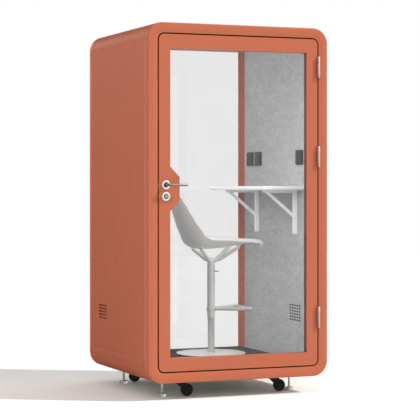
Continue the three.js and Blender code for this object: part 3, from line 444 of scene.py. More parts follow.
def moulded(name, colour, rough, grain=650.0, depth=0.05, spread=0.08, **values):
    """Moulded plastic with a fine spark-eroded grain."""
    f = Finish(name, **values)
    pits = f.cells(grain)
    cloud = f.noise(6.0, 3.0)
    uneven = f.total(cloud, pits, 0.3)
    f.colour(f.ramp(uneven, (0.3, shade(colour, 1 - spread)), (0.9, shade(colour, 1 + spread))))
    f.rough(f.span(f.noise(25.0, 3.0), rough - 0.06, rough + 0.06))
    return f.relief(pits, 0.2, depth)


TERRACOTTA = (0.449, 0.121, 0.061)
# Dark red painted into narrow gaps as their shade
GAP_SHADE_COLOUR = (0.20, 0.006, 0.001)
WHITE = (0.74, 0.745, 0.75)
# Paler, lighter terracotta: a painted highlight along the bead at the side joint
TRIM_HIGHLIGHT = (0.515, 0.155, 0.084)
MATT = {"Specular_IOR_Level": 0.25}
# Matt paint with painted shade in gaps narrower than 14 mm
PAINTED_GAP_SHADE = {"grime": 14.0, **MATT}
DULL = {"Specular_IOR_Level": 0.3}

# Each finish is a pair: the record's slot, and the material
sheet_paint = ("terracotta_sheet", coated("powder_coat_sheet", TERRACOTTA, 0.34, **PAINTED_GAP_SHADE))
profile_paint = ("terracotta_profile", coated("powder_coat_profile", TERRACOTTA, 0.34, 1100.0, **PAINTED_GAP_SHADE))
highlight_trim_paint = ("terracotta_profile", coated("powder_coat_trim_painted_highlight", TRIM_HIGHLIGHT, 0.34, 1100.0, **MATT))
white_paint = ("white_metal", coated("white_powder_coat", WHITE, 0.45, 1000.0, 0.03, 0.02))
# A darker copy of the stool paint for the disc's top: painted shade, so the rim in the lighter stool paint
# reads as a highlight
shaded_foot_paint = ("stool_metal", coated("stool_foot_coat_painted_shade", (0.55, 0.545, 0.535), 0.36, 1200.0, 0.02, 0.02))
stool_paint = ("stool_metal", coated("stool_powder_coat", (0.66, 0.655, 0.645), 0.36, 1200.0, 0.02, 0.02))
shell_plastic = ("stool_shell", moulded("seat_shell_plastic", (0.48, 0.469, 0.456), 0.42, 900.0, 0.03, 0.02))
plate_plastic = ("grey_plate", moulded("wall_plate_plastic", (0.020, 0.020, 0.019), 0.42, 800.0, 0.03))
black_plastic = ("black_plastic", moulded("black_nylon", (0.011, 0.010, 0.009), 0.6, **DULL))
rubber = ("seal_rubber", moulded("seal_rubber", (0.012, 0.011, 0.011), 0.7, 400.0, 0.06))
# Seal rubber in a deep red that copies the reddish shade inside the door gap: partly painted shade
SEAL_RED_AND_GAP_SHADE = (0.10, 0.004, 0.001)
red_seal_and_gap_shade = ("seal_rubber", moulded("door_seal_rubber_and_gap_shade", SEAL_RED_AND_GAP_SHADE, 0.75, 400.0, 0.06, Specular_IOR_Level=0.15))
tread = ("black_plastic", moulded("wheel_tread", (0.007, 0.006, 0.005), 0.6, 500.0, 0.05, **DULL))
primer = ("grey_plate", coated("grey_primer", (0.48, 0.45, 0.42), 0.6, 700.0))
steel = ("satin_steel", metal("satin_stainless_steel", (0.92, 0.895, 0.85), 0.22, 60.0))
# Peach-tinted steel: the tint is a painted reflection of the terracotta door in the barrels
hinge_steel_painted_reflection = ("satin_steel", metal("hinge_steel_painted_reflection", (0.98, 0.71, 0.62), 0.2, 60.0))
nickel = ("satin_steel", metal("matt_nickel", (0.93, 0.90, 0.85), 0.3, 60.0, share=0.5))
LEVER_GREY = (0.33, 0.31, 0.30)
lever_steel = ("satin_steel", metal("brushed_lever_steel", LEVER_GREY, 0.24, 60.0, along=(30.0, 1.0, 1.0)))
dark_steel = coated("black_chassis_coat", (0.03, 0.028, 0.026), 0.5, 700.0)
chrome = ("bright_chrome", metal("zinc_plate", (0.84, 0.82, 0.80), 0.26, 40.0, 0.004, share=0.8))


def felt_finish():
    f = Finish("grey_felt", Roughness=0.95, Specular_IOR_Level=0.2, Sheen_Weight=0.25, Sheen_Roughness=0.6)
    wall = f.stretched((1.0, 0.42, 1.0))
    fibre = f.noise(420.0, 6.0, 0.65, wall, 1.2)
    fleck = f.cells(210.0)
    blotch = f.noise(70.0, 5.0, 0.75, wall, 0.6)
    drift = f.noise(17.0, 3.0, 0.6, wall)
    strands = ((0.25, (0.36, 0.361, 0.366)), (0.5, (0.44, 0.441, 0.447)), (0.8, (0.52, 0.521, 0.528)))
    grey = f.ramp(fibre, *strands)
    cloudy = f.ramp(f.total(blotch, drift), (0.58, (0.82, 0.82, 0.82)), (0.92, (1.17, 1.17, 1.17)))
    grey = f.tinted(grey, cloudy)
    spots = f.ramp(fleck, (0.05, (0.55, 0.55, 0.56)), (0.16, (1.0, 1.0, 1.0)))
    f.colour(f.tinted(grey, spots, 0.35))
    return f.relief(f.total(fibre, blotch, 0.6), 0.6, 0.6)


def carpet_finish():
    f = Finish("loop_carpet", Roughness=1.0, Specular_IOR_Level=0.1, Sheen_Weight=0.2)
    loop = f.cells(330.0, "SMOOTH_F1")
    twist = f.noise(900.0, 3.0, 0.6)
    patch = f.noise(30.0, 4.0, 0.6)
    dark = f.ramp(loop, (0.1, (0.060, 0.060, 0.061)), (0.6, (0.018, 0.018, 0.019)))
    tint = f.ramp(patch, (0.3, (0.75, 0.75, 0.76)), (0.7, (1.25, 1.25, 1.24)))
    f.colour(f.tinted(dark, tint))
    return f.relief(f.total(loop, twist, -0.3), 1.0, -1.2)


def wool_finish():
    f = Finish("acoustic_wool", Roughness=1.0, Specular_IOR_Level=0.1)
    fibre = f.noise(260.0, 6.0, 0.7, None, 2.0)
    f.colour(f.ramp(fibre, (0.3, (0.035, 0.034, 0.033)), (0.7, (0.085, 0.083, 0.08))))
    return f.relief(fibre, 0.8, 1.5)


def board_finish():
    f = Finish("film_faced_board", Roughness=0.5)
    grain = f.noise(12.0, 6.0, 0.6, f.stretched((1.0, 14.0, 14.0)), 0.4)
    f.colour(f.ramp(grain, (0.3, (0.055, 0.034, 0.02)), (0.7, (0.10, 0.062, 0.036))))
    return f.relief(grain, 0.3, 0.2)


def laminate_finish():
    f = Finish("white_laminate", Specular_IOR_Level=0.5)
    pearl = f.noise(1400.0, 3.0, 0.6)
    f.colour(f.ramp(pearl, (0.3, (0.74, 0.74, 0.735)), (0.7, (0.82, 0.82, 0.815))))
    f.rough(f.span(f.noise(60.0, 3.0), 0.30, 0.42))
    return f.relief(pearl, 0.2, 0.03)


def lamp_finish():
    f = Finish("lit_diffuser", Roughness=0.5, Emission_Strength=2.0)
    frost = f.noise(500.0)
    glow = f.ramp(frost, (0.3, (0.90, 0.89, 0.86)), (0.7, (1.0, 0.99, 0.96)))
    f.colour(glow)
    f.link(glow, f.surface.inputs["Emission Color"])
    return f.relief(frost, 0.2, 0.05)


def glass_finish():
    f = Finish("clear_glass", Transmission_Weight=1.0, IOR=1.45)
    film = f.noise(5.0, 4.0)
    f.colour(f.ramp(film, (0.3, (0.884, 0.886, 0.885)), (0.7, (0.896, 0.898, 0.897))))
    f.rough(f.span(f.noise(9.0, 5.0), 0.0, 0.012))
    lamp_rays = f.feed("ShaderNodeLightPath", out="Is Shadow Ray")
    through = f.feed("ShaderNodeBsdfTransparent", {"Color": (0.90, 0.905, 0.902, 1)})
    either = f.feed("ShaderNodeMixShader", None, {0: lamp_rays, 1: f.surface.outputs[0], 2: through})
    f.link(either, f.tree.nodes["Material Output"].inputs["Surface"])
    return f.material


felt = ("wall_felt", felt_finish())
carpet_pile = ("carpet", carpet_finish())
wool = wool_finish()
board = board_finish()
laminate = ("desk_board", laminate_finish())
diffuser = ("lamp", lamp_finish())
glass = glass_finish()


# Shell


def ring_loop(inset, radius, y):
    outline = rounded(-SIDE + inset, SIDE - inset, BASE + inset, TOP - inset, radius, 16)
    return [(x, y, z) for x, z in outline]


FILLET = 8
GROOVE = 1
GROOVE_FRONT = FRAME_BACK - 5
frame_loops = [ring_loop(GROOVE, CORNER - GROOVE, y) for y in (FRAME_BACK, GROOVE_FRONT)]
frame_loops += [ring_loop(0.3, CORNER - 0.3, GROOVE_FRONT), ring_loop(0, CORNER, GROOVE_FRONT - 0.3)]
for a in (radians(18 * i) for i in range(6)):
    inward = FILLET * (1 - cos(a))
    frame_loops.append(ring_loop(inward, CORNER - inward, FRONT + FILLET * (1 - sin(a))))
DOORWAY = [(61.2, 44.8, FRONT), (62.5, 43.5, FRONT + 0.6), (63, 43, FRONT + 2), (63, 43, STOP_Y)]
DOORWAY += [(94, 21, STOP_Y), (95, 20, STOP_Y + 1), (95, 20, FRAME_BACK)]
frame_loops += [ring_loop(*row) for row in DOORWAY]
front_frame = to_object("front_frame_ring", Shape().skin(frame_loops, closed=True))
carve(front_frame, Shape().block((-544.8, -526.3, 1210.7), (-541, -503.7, 1341.3)))  # for the strike plate
pockets = Shape()  # for the two bolts, in a cut of their own
for z, half in ((LEVER_Z, 10), (CYLINDER_Z, 12)):
    pockets.block((-558, DOOR_MIDDLE - 8, z - half), (-540, DOOR_MIDDLE + 8, z + half))
carve(front_frame, pockets)
settle(front_frame, "pod", profile_paint, ("front_frame",))


FOLD = [(3 * (1 - cos(a)), 3 * (1 - sin(a))) for a in (radians(15 * k) for k in range(7))]
BEND_STEPS = 24


def trough(up, inset):
    """Section of a cover that wraps two long edges, from left to right."""
    edge = TOP - CORNER if up > 0 else BASE + CORNER
    crown, end = (90, 0) if up > 0 else (270, 360)
    r = CORNER - inset
    left = arc(-SIDE + CORNER, edge, r, 180, crown, BEND_STEPS)
    return left + arc(SIDE - CORNER, edge, r, crown, end, BEND_STEPS)


def cover(up):
    """Sheet bent round the roof's or the base's two long edges, its front edge folded in."""
    rows = [(INNER_FRONT + ahead, inset) for inset, ahead in FOLD[::-1]] + [(INNER_BACK, 0)]
    loops = []
    for y, inset in rows:
        section = trough(up, inset) + trough(up, inset + SKIN)[::-1]
        loops.append([(x, y, z) for x, z in section])
    shape = Shape().skin(loops, caps=False)
    n = len(loops[0])
    for start in (0, (len(rows) - 1) * n):
        end = start + n - 1
        shape.faces += [(start + i, start + i + 1, end - i - 1, end - i) for i in range(n // 2 - 1)]
    return shape


piece("roof_sheet", cover(1), "pod", sheet_paint, "roof_cover")
base_sheet = to_object("base_sheet", cover(-1))
holes = Shape()
openings = []
for sx, sy in CORNERS.values():
    x, y = at_corner(CASTER_AT, sx, sy)
    stem = at_corner(FOOT_AT, sx, sy)
    holes.block((x - 35.4, y - 35.4, 100), (x + 35.4, y + 35.4, 110))
    holes.turn([(8.2, 100), (8.2, 110)], 28, shift((*stem, 0)))
    openings += [rounded(x - 36, x + 36, y - 36, y + 36, 1, 2), circle(*stem, 9, 24)]
carve(base_sheet, holes)
settle(base_sheet, "pod", sheet_paint, ("base_tray",))

# A primed plate below the base sheet, cut out round the caster pads and the feet
under_plate = Shape().sheet(rounded(-500, 500, -466, 552, 6, 4), openings, 103.6, 104.9, level)
piece("base_under_plate", under_plate, "pod", primer)


STRIP_TOP = 239.5


def side_skin(sign, side):
    """A flat sheet with a folded front edge, a raised lower strip and five vent slots with turned-in lips."""
    middle = MIDDLE_Y - sign * VENT_Y
    slots = [(middle, VENT_Z + 20 * (k - 2), 158, 9, 8) for k in range(5)]
    low, high = BASE + CORNER + 0.3, TOP - CORNER - 0.3
    outline = rounded(INNER_FRONT + 3, INNER_BACK, low, high, 0.1, 2)
    shape = Shape()

    def place(u, v, h):
        return (sign * (SIDE - h), u, v)

    shape.sheet(outline, [slot_outline(*slot) for slot in slots], 0, SKIN, place)
    fold = [(INNER_FRONT + ahead, inset) for inset, ahead in FOLD]
    fold += [(y, h + SKIN) for y, h in fold[::-1]]
    shape.skin([[place(y, z, h) for y, h in fold] for z in (low, high)])
    strip = [(0.2, low), (-2.2, low + 1), (-2.2, STRIP_TOP - 7), (-2.0, STRIP_TOP - 5), (0.1, STRIP_TOP + 1)]
    shape.skin([[place(y, z, h) for h, z in strip] for y in (INNER_FRONT + 3, INNER_BACK - 2)])
    baffle = rounded(middle - 86, middle + 86, VENT_Z - 54, VENT_Z + 54, 6, 4)
    shape.skin([[place(u, v, h) for u, v in baffle] for h in (9, 10)])
    for slot in slots:
        shape.lip(slot, ((0, 0.2), (0, 7), (2.4, 7), (2.4, SKIN + 0.02)), place)
    piece(f"{side}_side_skin_sheet", shape, "pod", sheet_paint, f"{side}_side_skin")


for sign, side in SIDES:
    side_skin(sign, side)


TRIM_FRONT = -502


def edge_trim(sign, side):
    """Flat bead on the front frame's outer face that closes the joint with the side sheet; its paler paint is
    a painted highlight along the joint.
    """
    section = [(0, -0.3), (1, 0.7), (3, 1.3), (12, 1.6), (21, 1.3), (23, 0.7), (24, -0.3)]
    low, high = BASE + CORNER + 4, TOP - CORNER - 4
    ends = ((low, 0.3), (low + 2, 0.8), (low + 5, 1.0), (high - 5, 1.0), (high - 2, 0.8), (high, 0.3))
    loops = [[(sign * (SIDE + h * share), TRIM_FRONT + y, z) for y, h in section] for z, share in ends]
    piece(f"{side}_edge_trim", Shape().skin(loops), "pod", highlight_trim_paint)


for sign, side in SIDES:
    edge_trim(sign, side)
refined("rear_frame", "pod", profile_paint, 1.0)


# Upright stops hold the rear pane: a small ovolo in the corner of reveal and glass
OVOLO = [(480, 565.6), (480, 578.8), (471.2, 578.8), (471.2, 571)]
OVOLO += [(471.8, 568.2), (473.6, 566.2), (475.8, 565.6)]
pane_stops = Shape()
for sign in (-1, 1):
    pane_stops.skin([[(sign * x, y, z) for x, y in OVOLO] for z in (FLOOR + 5, CEIL - 1)])
piece("rear_pane_stops", pane_stops, "pod", profile_paint, width=0.5)
# Black rubber gasket on the rear sill; its black also covers the sill rail in place of the shade there:
# partly painted shade
gasket_and_shade = []
for inset, z in ((0, 190.1), (0, 193.2), (0.8, 194.2), (1.4, 194.6)):
    x, front, rear = 479 - inset, 558.2 + inset, 564.8 - inset
    gasket_and_shade.append([(-x, front, z), (x, front, z), (x, rear, z), (-x, rear, z)])
piece("rear_sill_gasket", Shape().skin(gasket_and_shade), "pod", rubber)


# Door

refined("door_frame", "door", profile_paint, 1.2)

BULB = [(76, -489.4), (76.4, -491.4), (78.2, -492.4), (80.6, -492.6)]
BULB += [(83, -491.6), (84.6, -490.6), (90, -490.6), (90, -489.4)]
seal_loops = [ring_loop(inset, 106 - inset, y) for inset, y in BULB]
piece("door_seal_bulb", Shape().skin(seal_loops, closed=True), "pod", red_seal_and_gap_shade, "door_seal")


def out(sign, y):
    """Turns a shape drawn along +Z into one that leaves a face at y along sign times Y."""
    turn = Matrix.Rotation(radians(-90 * sign), 4, "X")
    return lambda x, z: shift((x, y, z)) @ turn


outside = out(-1, FRONT)

RIM = [(27.4, 0.3), (27.4, 3.0), (27.0, 5.2), (25.6, 7.2), (23.6, 8.0)]
RIM += [(21.4, 7.9), (18.0, 7.0), (15.2, 6.4), (14.8, 5.8)]
ROSE_EDGE = [(9.3, 0.3), *RIM, (14.6, 2.4), (9.3, 2.4)]
rose = Shape().turn(ROSE_EDGE, 64, outside(LEVER_X, LEVER_Z), closed=True)
piece("lever_rose_disc", rose, "door", nickel, "lever_rose")

PLUG = [*RIM, (14.6, 2.2), (8.4, 2.0), (8.0, 2.4), (7.7, 10.2), (7.0, 10.9)]
cylinder = to_object("cylinder_rose_disc", Shape().turn(PLUG, 64, outside(LEVER_X, CYLINDER_Z)))
keyway = (LEVER_X - 1.4, FRONT - 12, CYLINDER_Z - 6), (LEVER_X + 1.4, FRONT - 4, CYLINDER_Z + 5)
carve(cylinder, Shape().block(*keyway))
settle(cylinder, "door", nickel, ("cylinder_rose",))

# Black rings in the roses' recesses round the collar and the plug; their black also stands in for the shade
# in those recesses: partly painted shade
for z, part, inner in ((LEVER_Z, "lever", 9.5), (CYLINDER_Z, "cylinder", 8.6)):
    recess = [(inner, 2.6), (14.4, 2.6), (14.4, 3.6), (13.8, 4.0), (inner + 0.6, 4.0), (inner, 3.6)]
    ring = Shape().turn(recess, 56, outside(LEVER_X, z), closed=True)
    piece(f"{part}_rose_insert_and_shade", ring, "door", black_plastic)


BAR = 7.4
DOME = 5.5


def lever(sign, y, spindle):
    """Bent round bar with a domed end, and the collar it leaves the rose by."""
    path = bend([(0, 0, 4), (0, 0, 50), (127, 0, 50)], 16, 10)
    tail = path[-1].copy()
    path[-1] = tail - Vector((DOME, 0, 0))
    radii = [BAR] * len(path)
    for i in range(1, 6):
        a = radians(90 * i / 5)
        path.append(tail + Vector((DOME * sin(a) - DOME, 0, 0)))
        radii.append(BAR * cos(a) + 0.05)
    turn = out(sign, y)(LEVER_X, LEVER_Z)
    shape = Shape()
    shape.tube([turn @ p for p in path], radii, 24)
    collar = [(9, 0.4), (9, 12.6), (8.7, 13.7), (8.0, 14), (7.45, 14)]
    shape.turn(collar, 40, turn)
    if spindle:
        shape.block((LEVER_X - 4, -533, LEVER_Z - 4), (LEVER_X + 4, -474, LEVER_Z + 4))
    return shape


piece("lever_front_bar", lever(-1, FRONT, True), "lever", lever_steel, "lever_front")
piece("lever_back_bar", lever(1, DOOR_BACK, False), "lever", lever_steel, "lever_back")
refined("lock_backplate", "door", steel, 0.8)
refined("thumb_turn", "thumb_turn", steel, 1.4, 3)
refined("strike_plate", "pod", steel, 0.3, 1)
refined("lock_case", "door", steel, 0.3, 1)
refined("latch_bolt", "latch", steel, 0.6)
refined("dead_bolt", "bolt", steel, 0.6)


def screw(shape, x, y, z, sign):
    """Countersunk head, a little proud of a face that looks along sign times X."""
    turn = shift((x, y, z)) @ Matrix.Rotation(radians(90 * sign), 4, "Y")
    shape.turn([(3.6, -0.6), (3.6, 0.05), (3.3, 0.22), (1.5, 0.3), (1.4, -0.5)], 20, turn)


BARREL = 9.8
LEAF = 67
KNUCKLE = 27


def hinge(index, z):
    """Two leaves with knuckles on one pin: the outer two on the frame, the middle one on the door."""
    pin = shift((HINGE_X, HINGE_Y, z))
    tip = [(0.5, -LEAF - 1.6), (5.5, -LEAF - 1.4), (8.4, -LEAF + 0.4), (BARREL, -LEAF + 4)]
    outer = tip + [(BARREL, -28.2), (9.2, -27.6), (4, -27.5), (4, 27.5), (9.2, 27.6), (BARREL, 28.2)]
    outer += [(r, -h) for r, h in tip[::-1]]
    inner = [(4.3, -KNUCKLE), (9.2, -KNUCKLE), (BARREL, -26.4)]
    inner += [(r, -h) for r, h in inner[::-1]]
    fixed = Shape().turn(outer, 40, pin)
    moving = Shape().turn(inner, 40, pin, closed=True)
    tabs = ((1 - LEAF, -28), (28, LEAF - 1))
    for shape, sign, spans in ((fixed, 1, tabs), (moving, -1, ((-KNUCKLE, KNUCKLE),))):
        left, right = sorted((HINGE_X + 1.2 * sign, HINGE_X + 3.7 * sign))
        shape.block((left, HINGE_Y + 9.5, z - LEAF), (right, HINGE_Y + 47, z + LEAF))
        for low, high in spans:
            shape.block((left, HINGE_Y + 5, z + low), (right, HINGE_Y + 10.5, z + high))
        for dz in (-50, 0, 50):
            screw(shape, HINGE_X + 1.2 * sign, HINGE_Y + 30, z + dz, -sign)
    piece(f"hinge_{index}_frame_side", fixed, "pod", hinge_steel_painted_reflection, f"hinge_frame_leaf_{index}")
    piece(f"hinge_{index}_door_side", moving, "door", hinge_steel_painted_reflection, f"hinge_door_leaf_{index}")


for number, height in enumerate(HINGE_Z, 1):
    hinge(number, height)


# Cabin

FIELD = (157, 100)
PERFORATION = (18, 6)
LINER = [(4.6, -0.02), (4.2, -0.6), (-0.6, -0.7), (-2.0, 0.2)]
LINER += [(-2.0, 12.0), (-0.4, 12.0), (-0.4, 0.3), (1.0, -0.02)]


def felt_panel(sign, side):
    """Felt board with a field of short slots in front of the air duct, each with a thin liner."""
    middle = MIDDLE_Y - sign * VENT_Y
    length, height = PERFORATION
    columns = [middle + (FIELD[0] - length) * (k / 4 - 0.5) for k in range(5)]
    rows = [VENT_Z + (FIELD[1] - height) * (k / 5 - 0.5) for k in range(6)]
    slots = [(u, v, length, height, 5) for v in rows for u in columns]
    outline = rounded(INNER_FRONT, INNER_BACK, DECK, 2229.7, 1.5, 3)

    def place(u, v, h):
        return (sign * (WALL_FACE + h), u, v)

    board = Shape().sheet(outline, [slot_outline(*slot) for slot in slots], 0, 12, place)
    piece(f"{side}_felt_board", board, "pod", felt, f"{side}_felt_panel", width=0.7)
    liners = Shape()
    for slot in slots:
        liners.lip(slot, LINER, place)
    piece(f"{side}_vent_liners", liners, "pod", black_plastic)


for sign, side in SIDES:
    felt_panel(sign, side)


def carpet_grid():
    """Cut carpet with an uneven pile and edges that turn down."""
    nx, ny = 150, 152
    half = WALL_FACE - 0.3
    points = []
    for j in range(ny + 1):
        y = INNER_FRONT + (INNER_BACK - INNER_FRONT) * j / ny
        for i in range(nx + 1):
            x = -half + 2 * half * i / nx
            fine = noise.noise(Vector((x / 9, y / 9, 0.3)))
            wave = fine + 0.6 * noise.noise(Vector((x / 60, y / 60, 4.1)))
            rim = i in (0, nx) or j in (0, ny)
            points.append((x, y, FLOOR - 2.2 if rim else FLOOR - 0.55 + 0.5 * wave))
    row = nx + 1
    corners = [j * row + i for j in range(ny) for i in range(nx)]
    shape = Shape().add(points, [(a, a + 1, a + row + 1, a + row) for a in corners])
    border = [*range(nx)] + [j * row + nx for j in range(ny)]
    border += [ny * row + nx - i for i in range(nx)] + [(ny - j) * row for j in range(ny)]
    start = len(shape.points)
    shape.points += [(*points[k][:2], DECK) for k in border]
    n = len(border)
    shape.faces += [(border[k], border[(k + 1) % n], start + (k + 1) % n, start + k) for k in range(n)]
    shape.faces.append(tuple(start + k for k in range(n)))
    return shape


piece("carpet_pile", carpet_grid(), "pod", carpet_pile, "carpet", angle=80)

well = circle(0, MIDDLE_Y, 130.4, 64)
slab = rounded(-562.6, 562.6, INNER_FRONT, INNER_BACK, 2, 3)
ceiling = Shape().sheet(slab, [well], CEIL, CEIL + 49, level)
piece("ceiling_board", ceiling, "pod", felt, "ceiling_panel", width=0.8)
lens = [(1, 2228.2), (60, 2228.4), (116.5, 2229.2), (117.6, 2228.6), (119, 2227.2), (126, 2228.0)]
lens += [(129.2, 2228.6), (129.9, 2230), (129.9, 2243.6), (1, 2243.6)]
lamp_shape = Shape().turn(lens, 64, shift((0, MIDDLE_Y, 0)))
piece("ceiling_lamp", lamp_shape, "pod", diffuser, "ceiling_light")


DESK_EDGE = [(8.4, 1277), (7.4, 1277.4), (0.8, 1284.2), (0, 1286), (0, 1302), (0.6, 1303.4), (2, 1304)]
# The board's front corners are rounded; its edge is chamfered below and eased above
desk_loops = []
for inset, z in DESK_EDGE:
    corners = (2.5, 2.5, 20 - inset, 20 - inset)
    outline = rounded(230 + inset, WALL_FACE - 0.3, -402 + inset, 528 - inset, corners, 12)
    desk_loops.append([(x, y, z) for x, y in outline])
piece("desk_board", Shape().skin(desk_loops), "pod", laminate, "desk_top")
for where in ("front", "rear"):
    refined(f"desk_bracket_{where}", "pod", white_paint, 1.5, 3)


PLATE_Z = 1489
PLATE_RINGS = [
    (50, 47.5, 10, 0.0), (50, 47.5, 10, 7.2), (49.2, 46.7, 9.4, 9.0), (47.6, 45.1, 8.4, 9.6),
    (31.4, 31.4, 4.4, 9.7), (31.0, 31.0, 4.0, 9.2), (31.0, 31.0, 4.0, 7.8), (30.2, 30.2, 3.6, 7.8),
    (30.2, 30.2, 3.6, 8.9), (29.6, 29.6, 3.2, 9.3), (4.0, 29.4, 2.0, 9.0),
]


def wall_plate(y, where):
    """Dark cover with soft edges and a flush square insert."""
    loops = []
    for half_y, half_z, radius, depth in PLATE_RINGS:
        outline = rounded(y - half_y, y + half_y, PLATE_Z - half_z, PLATE_Z + half_z, radius, 6)
        loops.append([(WALL_FACE - 0.3 - depth, u, v) for u, v in outline])
    piece(f"wall_plate_{where}", Shape().skin(loops), "pod", plate_plastic, f"socket_{where}")


for y, where in ((-329, "front"), (316, "middle"), (448, "rear")):
    wall_plate(y, where)


# Stool

STOOL = shift((STOOL_X, STOOL_Y, FLOOR))
disc = [(20, 4.4), (221.6, 4.4), (221.6, 9.8), (221, 10.2), (60, 10.6), (25, 11)]
disc += [(23.4, 11.5), (22.4, 12.6), (22, 14.5), (22, 359), (21, 360)]
# Black rubber glide ring under the disc's edge; its black also stands in for the contact shadow under the
# disc: partly painted shade
glide_and_shadow = [(190, 0.2), (220, 0.2), (221.4, 0.8), (221.4, 4.3), (190, 4.3)]
piece("stool_foot_glide", Shape().turn(glide_and_shadow, 96, STOOL, closed=True), "pod", rubber)
# The rim keeps the lighter stool paint; the disc's top inside it carries the painted shade
rim = [(221.8, 4.6), (227, 4.6), (228.8, 5.4), (229.4, 7), (229.4, 9.2)]
rim += [(228.6, 10.8), (226.8, 11.6), (224, 11.8), (222.2, 11.2), (221.8, 10.4)]
piece("stool_foot_rim", Shape().turn(rim, 96, STOOL, closed=True), "pod", stool_paint)
piece("stool_foot", Shape().turn(disc, 96, STOOL), "pod", shaded_foot_paint, "stool_base")


def stool_column():
    """Sleeve with a bent footrest and the collar that holds it."""
    shape = Shape()
    wall = [(22.4, 241.2), (25, 241), (26.2, 242), (26.6, 244), (26.6, 252), (26, 254)]
    wall += [(26, 596), (26.6, 598), (26.6, 603), (25.6, 605), (22.4, 605)]
    shape.turn(wall, 64, STOOL, closed=True)
    reach, half, z = 237, 139, 302
    corners = [(16, -17, z), (reach - 12, -half, z), (reach, -half + 26, z)]
    corners += [(x, -y, z) for x, y, z in corners[::-1]]
    path = bend(corners, 24, 8)
    shape.tube([STOOL @ p for p in path], [12] * len(path), 24)
    shape.turn([(25, 286), (28.6, 286), (30, 288), (30, 316), (28.6, 318), (25, 318)], 64, STOOL, closed=True)
    return shape


piece("stool_sleeve", stool_column(), "stool_column", stool_paint, "stool_column")
refined("stool_height_handle", "stool_handle", black_plastic, 0.8)

STATIONS = [
    (324, 726, 118, 3), (310, 741, 160, 11), (250, 744, 190, 29), (150, 729, 205, 57),
    (40, 714, 209, 88), (-88, 711, 206, 96), (-155, 732, 199, 82), (-186, 790, 188, 72),
    (-217, 862, 172, 58), (-249, 955, 142, 46), (-272, 1032, 110, 30), (-279, 1062, 74, 14),
]


def station(u):
    """Catmull-Rom through the seat's stations: place on its middle line, half width and rim's rise."""
    last = len(STATIONS) - 1
    t = min(max(u, 0.0), 1.0) * last
    i = min(int(t), last - 1)
    t -= i
    p0, p1, p2, p3 = (STATIONS[min(max(k, 0), last)] for k in (i - 1, i, i + 1, i + 2))
    values = []
    for a, b, c, d in zip(p0, p1, p2, p3):
        v0 = (c - a) / 2
        v1 = (d - b) / 2
        cubic, square = 2 * b - 2 * c + v0 + v1, -3 * b + 3 * c - 2 * v0 - v1
        values.append(cubic * t**3 + square * t**2 + v0 * t + b)
    return values


def seat_place(u, side, lift, ahead=0.0):
    """A point beside and above the seat's middle line, in the plane across that line."""
    x, z = station(u)[:2]
    x0, z0 = station(u - 2e-3)[:2]
    x1, z1 = station(u + 2e-3)[:2]
    along = Vector((x1 - x0, 0, z1 - z0)).normalized()
    normal = Vector((along.z, 0, -along.x))
    return Vector((x, side, z)) + normal * lift + along * ahead


THICK = 12.0
ROLL = 15.0
BOWL = 2.4
END = 4.5
ROWS = 88


def seat_section(u, across=36, turns=8):
    """Half of the middle surface: side, lift and slope. The pan's rim rolls over, the back's doesn't."""
    half, rise = station(u)[2:]
    share = min(1.0, max(0.0, (0.60 - u) / 0.18))
    share = share * share * (3 - 2 * share)
    reach = ROLL * (0.55 + 0.9 * share)
    edge = half - THICK / 2 - reach
    points = []
    for j in range(across + 1):
        side = edge * j / across
        v = side / half
        points.append((side, rise * v**BOWL, atan(rise * BOWL * v ** (BOWL - 1) / half)))
    side, lift, slope = points[-1]
    turn = share * (slope + radians(82))
    length = reach * (1 + 0.35 * share)
    for j in range(1, turns + 1):
        t = slope - turn * (j - 0.5) / turns
        side += length / turns * cos(t)
        lift += length / turns * sin(t)
        points.append((side, lift, slope - turn * j / turns))
    return points


def seat_shell():
    """Lofted shell with a rolled rim; each loop goes once round the shell's thickness."""

    def loop(u, ahead, shrink):
        half = seat_section(u)
        r = THICK / 2 * shrink
        down = -THICK / 2
        middle = [(-side, lift, -slope) for side, lift, slope in half[:0:-1]] + half
        upper = [(side - r * sin(t), lift + r * cos(t)) for side, lift, t in middle]
        lower = [(side + r * sin(t), lift - r * cos(t)) for side, lift, t in middle]
        side, lift, t = middle[-1]
        turns = [radians(30 * k) - t for k in range(1, 6)]
        lip = [(side + r * sin(a), lift + r * cos(a)) for a in turns]
        far_lip = [(-x, z) for x, z in lip[::-1]]
        outline = upper + lip + lower[::-1] + far_lip
        return [STOOL @ seat_place(u, x, z + down, ahead) for x, z in outline]

    ends = [(0.12, 0.98), (0.45, 0.88), (0.75, 0.66), (0.95, 0.3)]
    loops = [loop(0.0, -END * reach, shrink) for reach, shrink in ends[::-1]]
    loops += [loop(i / ROWS, 0.0, 1.0) for i in range(ROWS + 1)]
    loops += [loop(1.0, END * reach, shrink) for reach, shrink in ends]
    return Shape().skin(loops)


SEAT_ANGLE = 60
piece("stool_seat_bucket", seat_shell(), "stool_seat", shell_plastic, "stool_seat_shell", angle=SEAT_ANGLE)


def underside(x, y):
    """Height of the seat's lower face above a point beside the column."""
    found = []
    for i in range(41):
        u = 0.02 + 0.6 * i / 40
        half, rise = station(u)[2:]
        for j in range(41):
            v = 0.8 * (2 * j / 40 - 1)
            p = seat_place(u, half * v, rise * abs(v) ** BOWL - THICK)
            found.append(((p.x - x) ** 2 + (p.y - y) ** 2, p.z))
    return min(found, key=lambda spot: spot[0])[1]


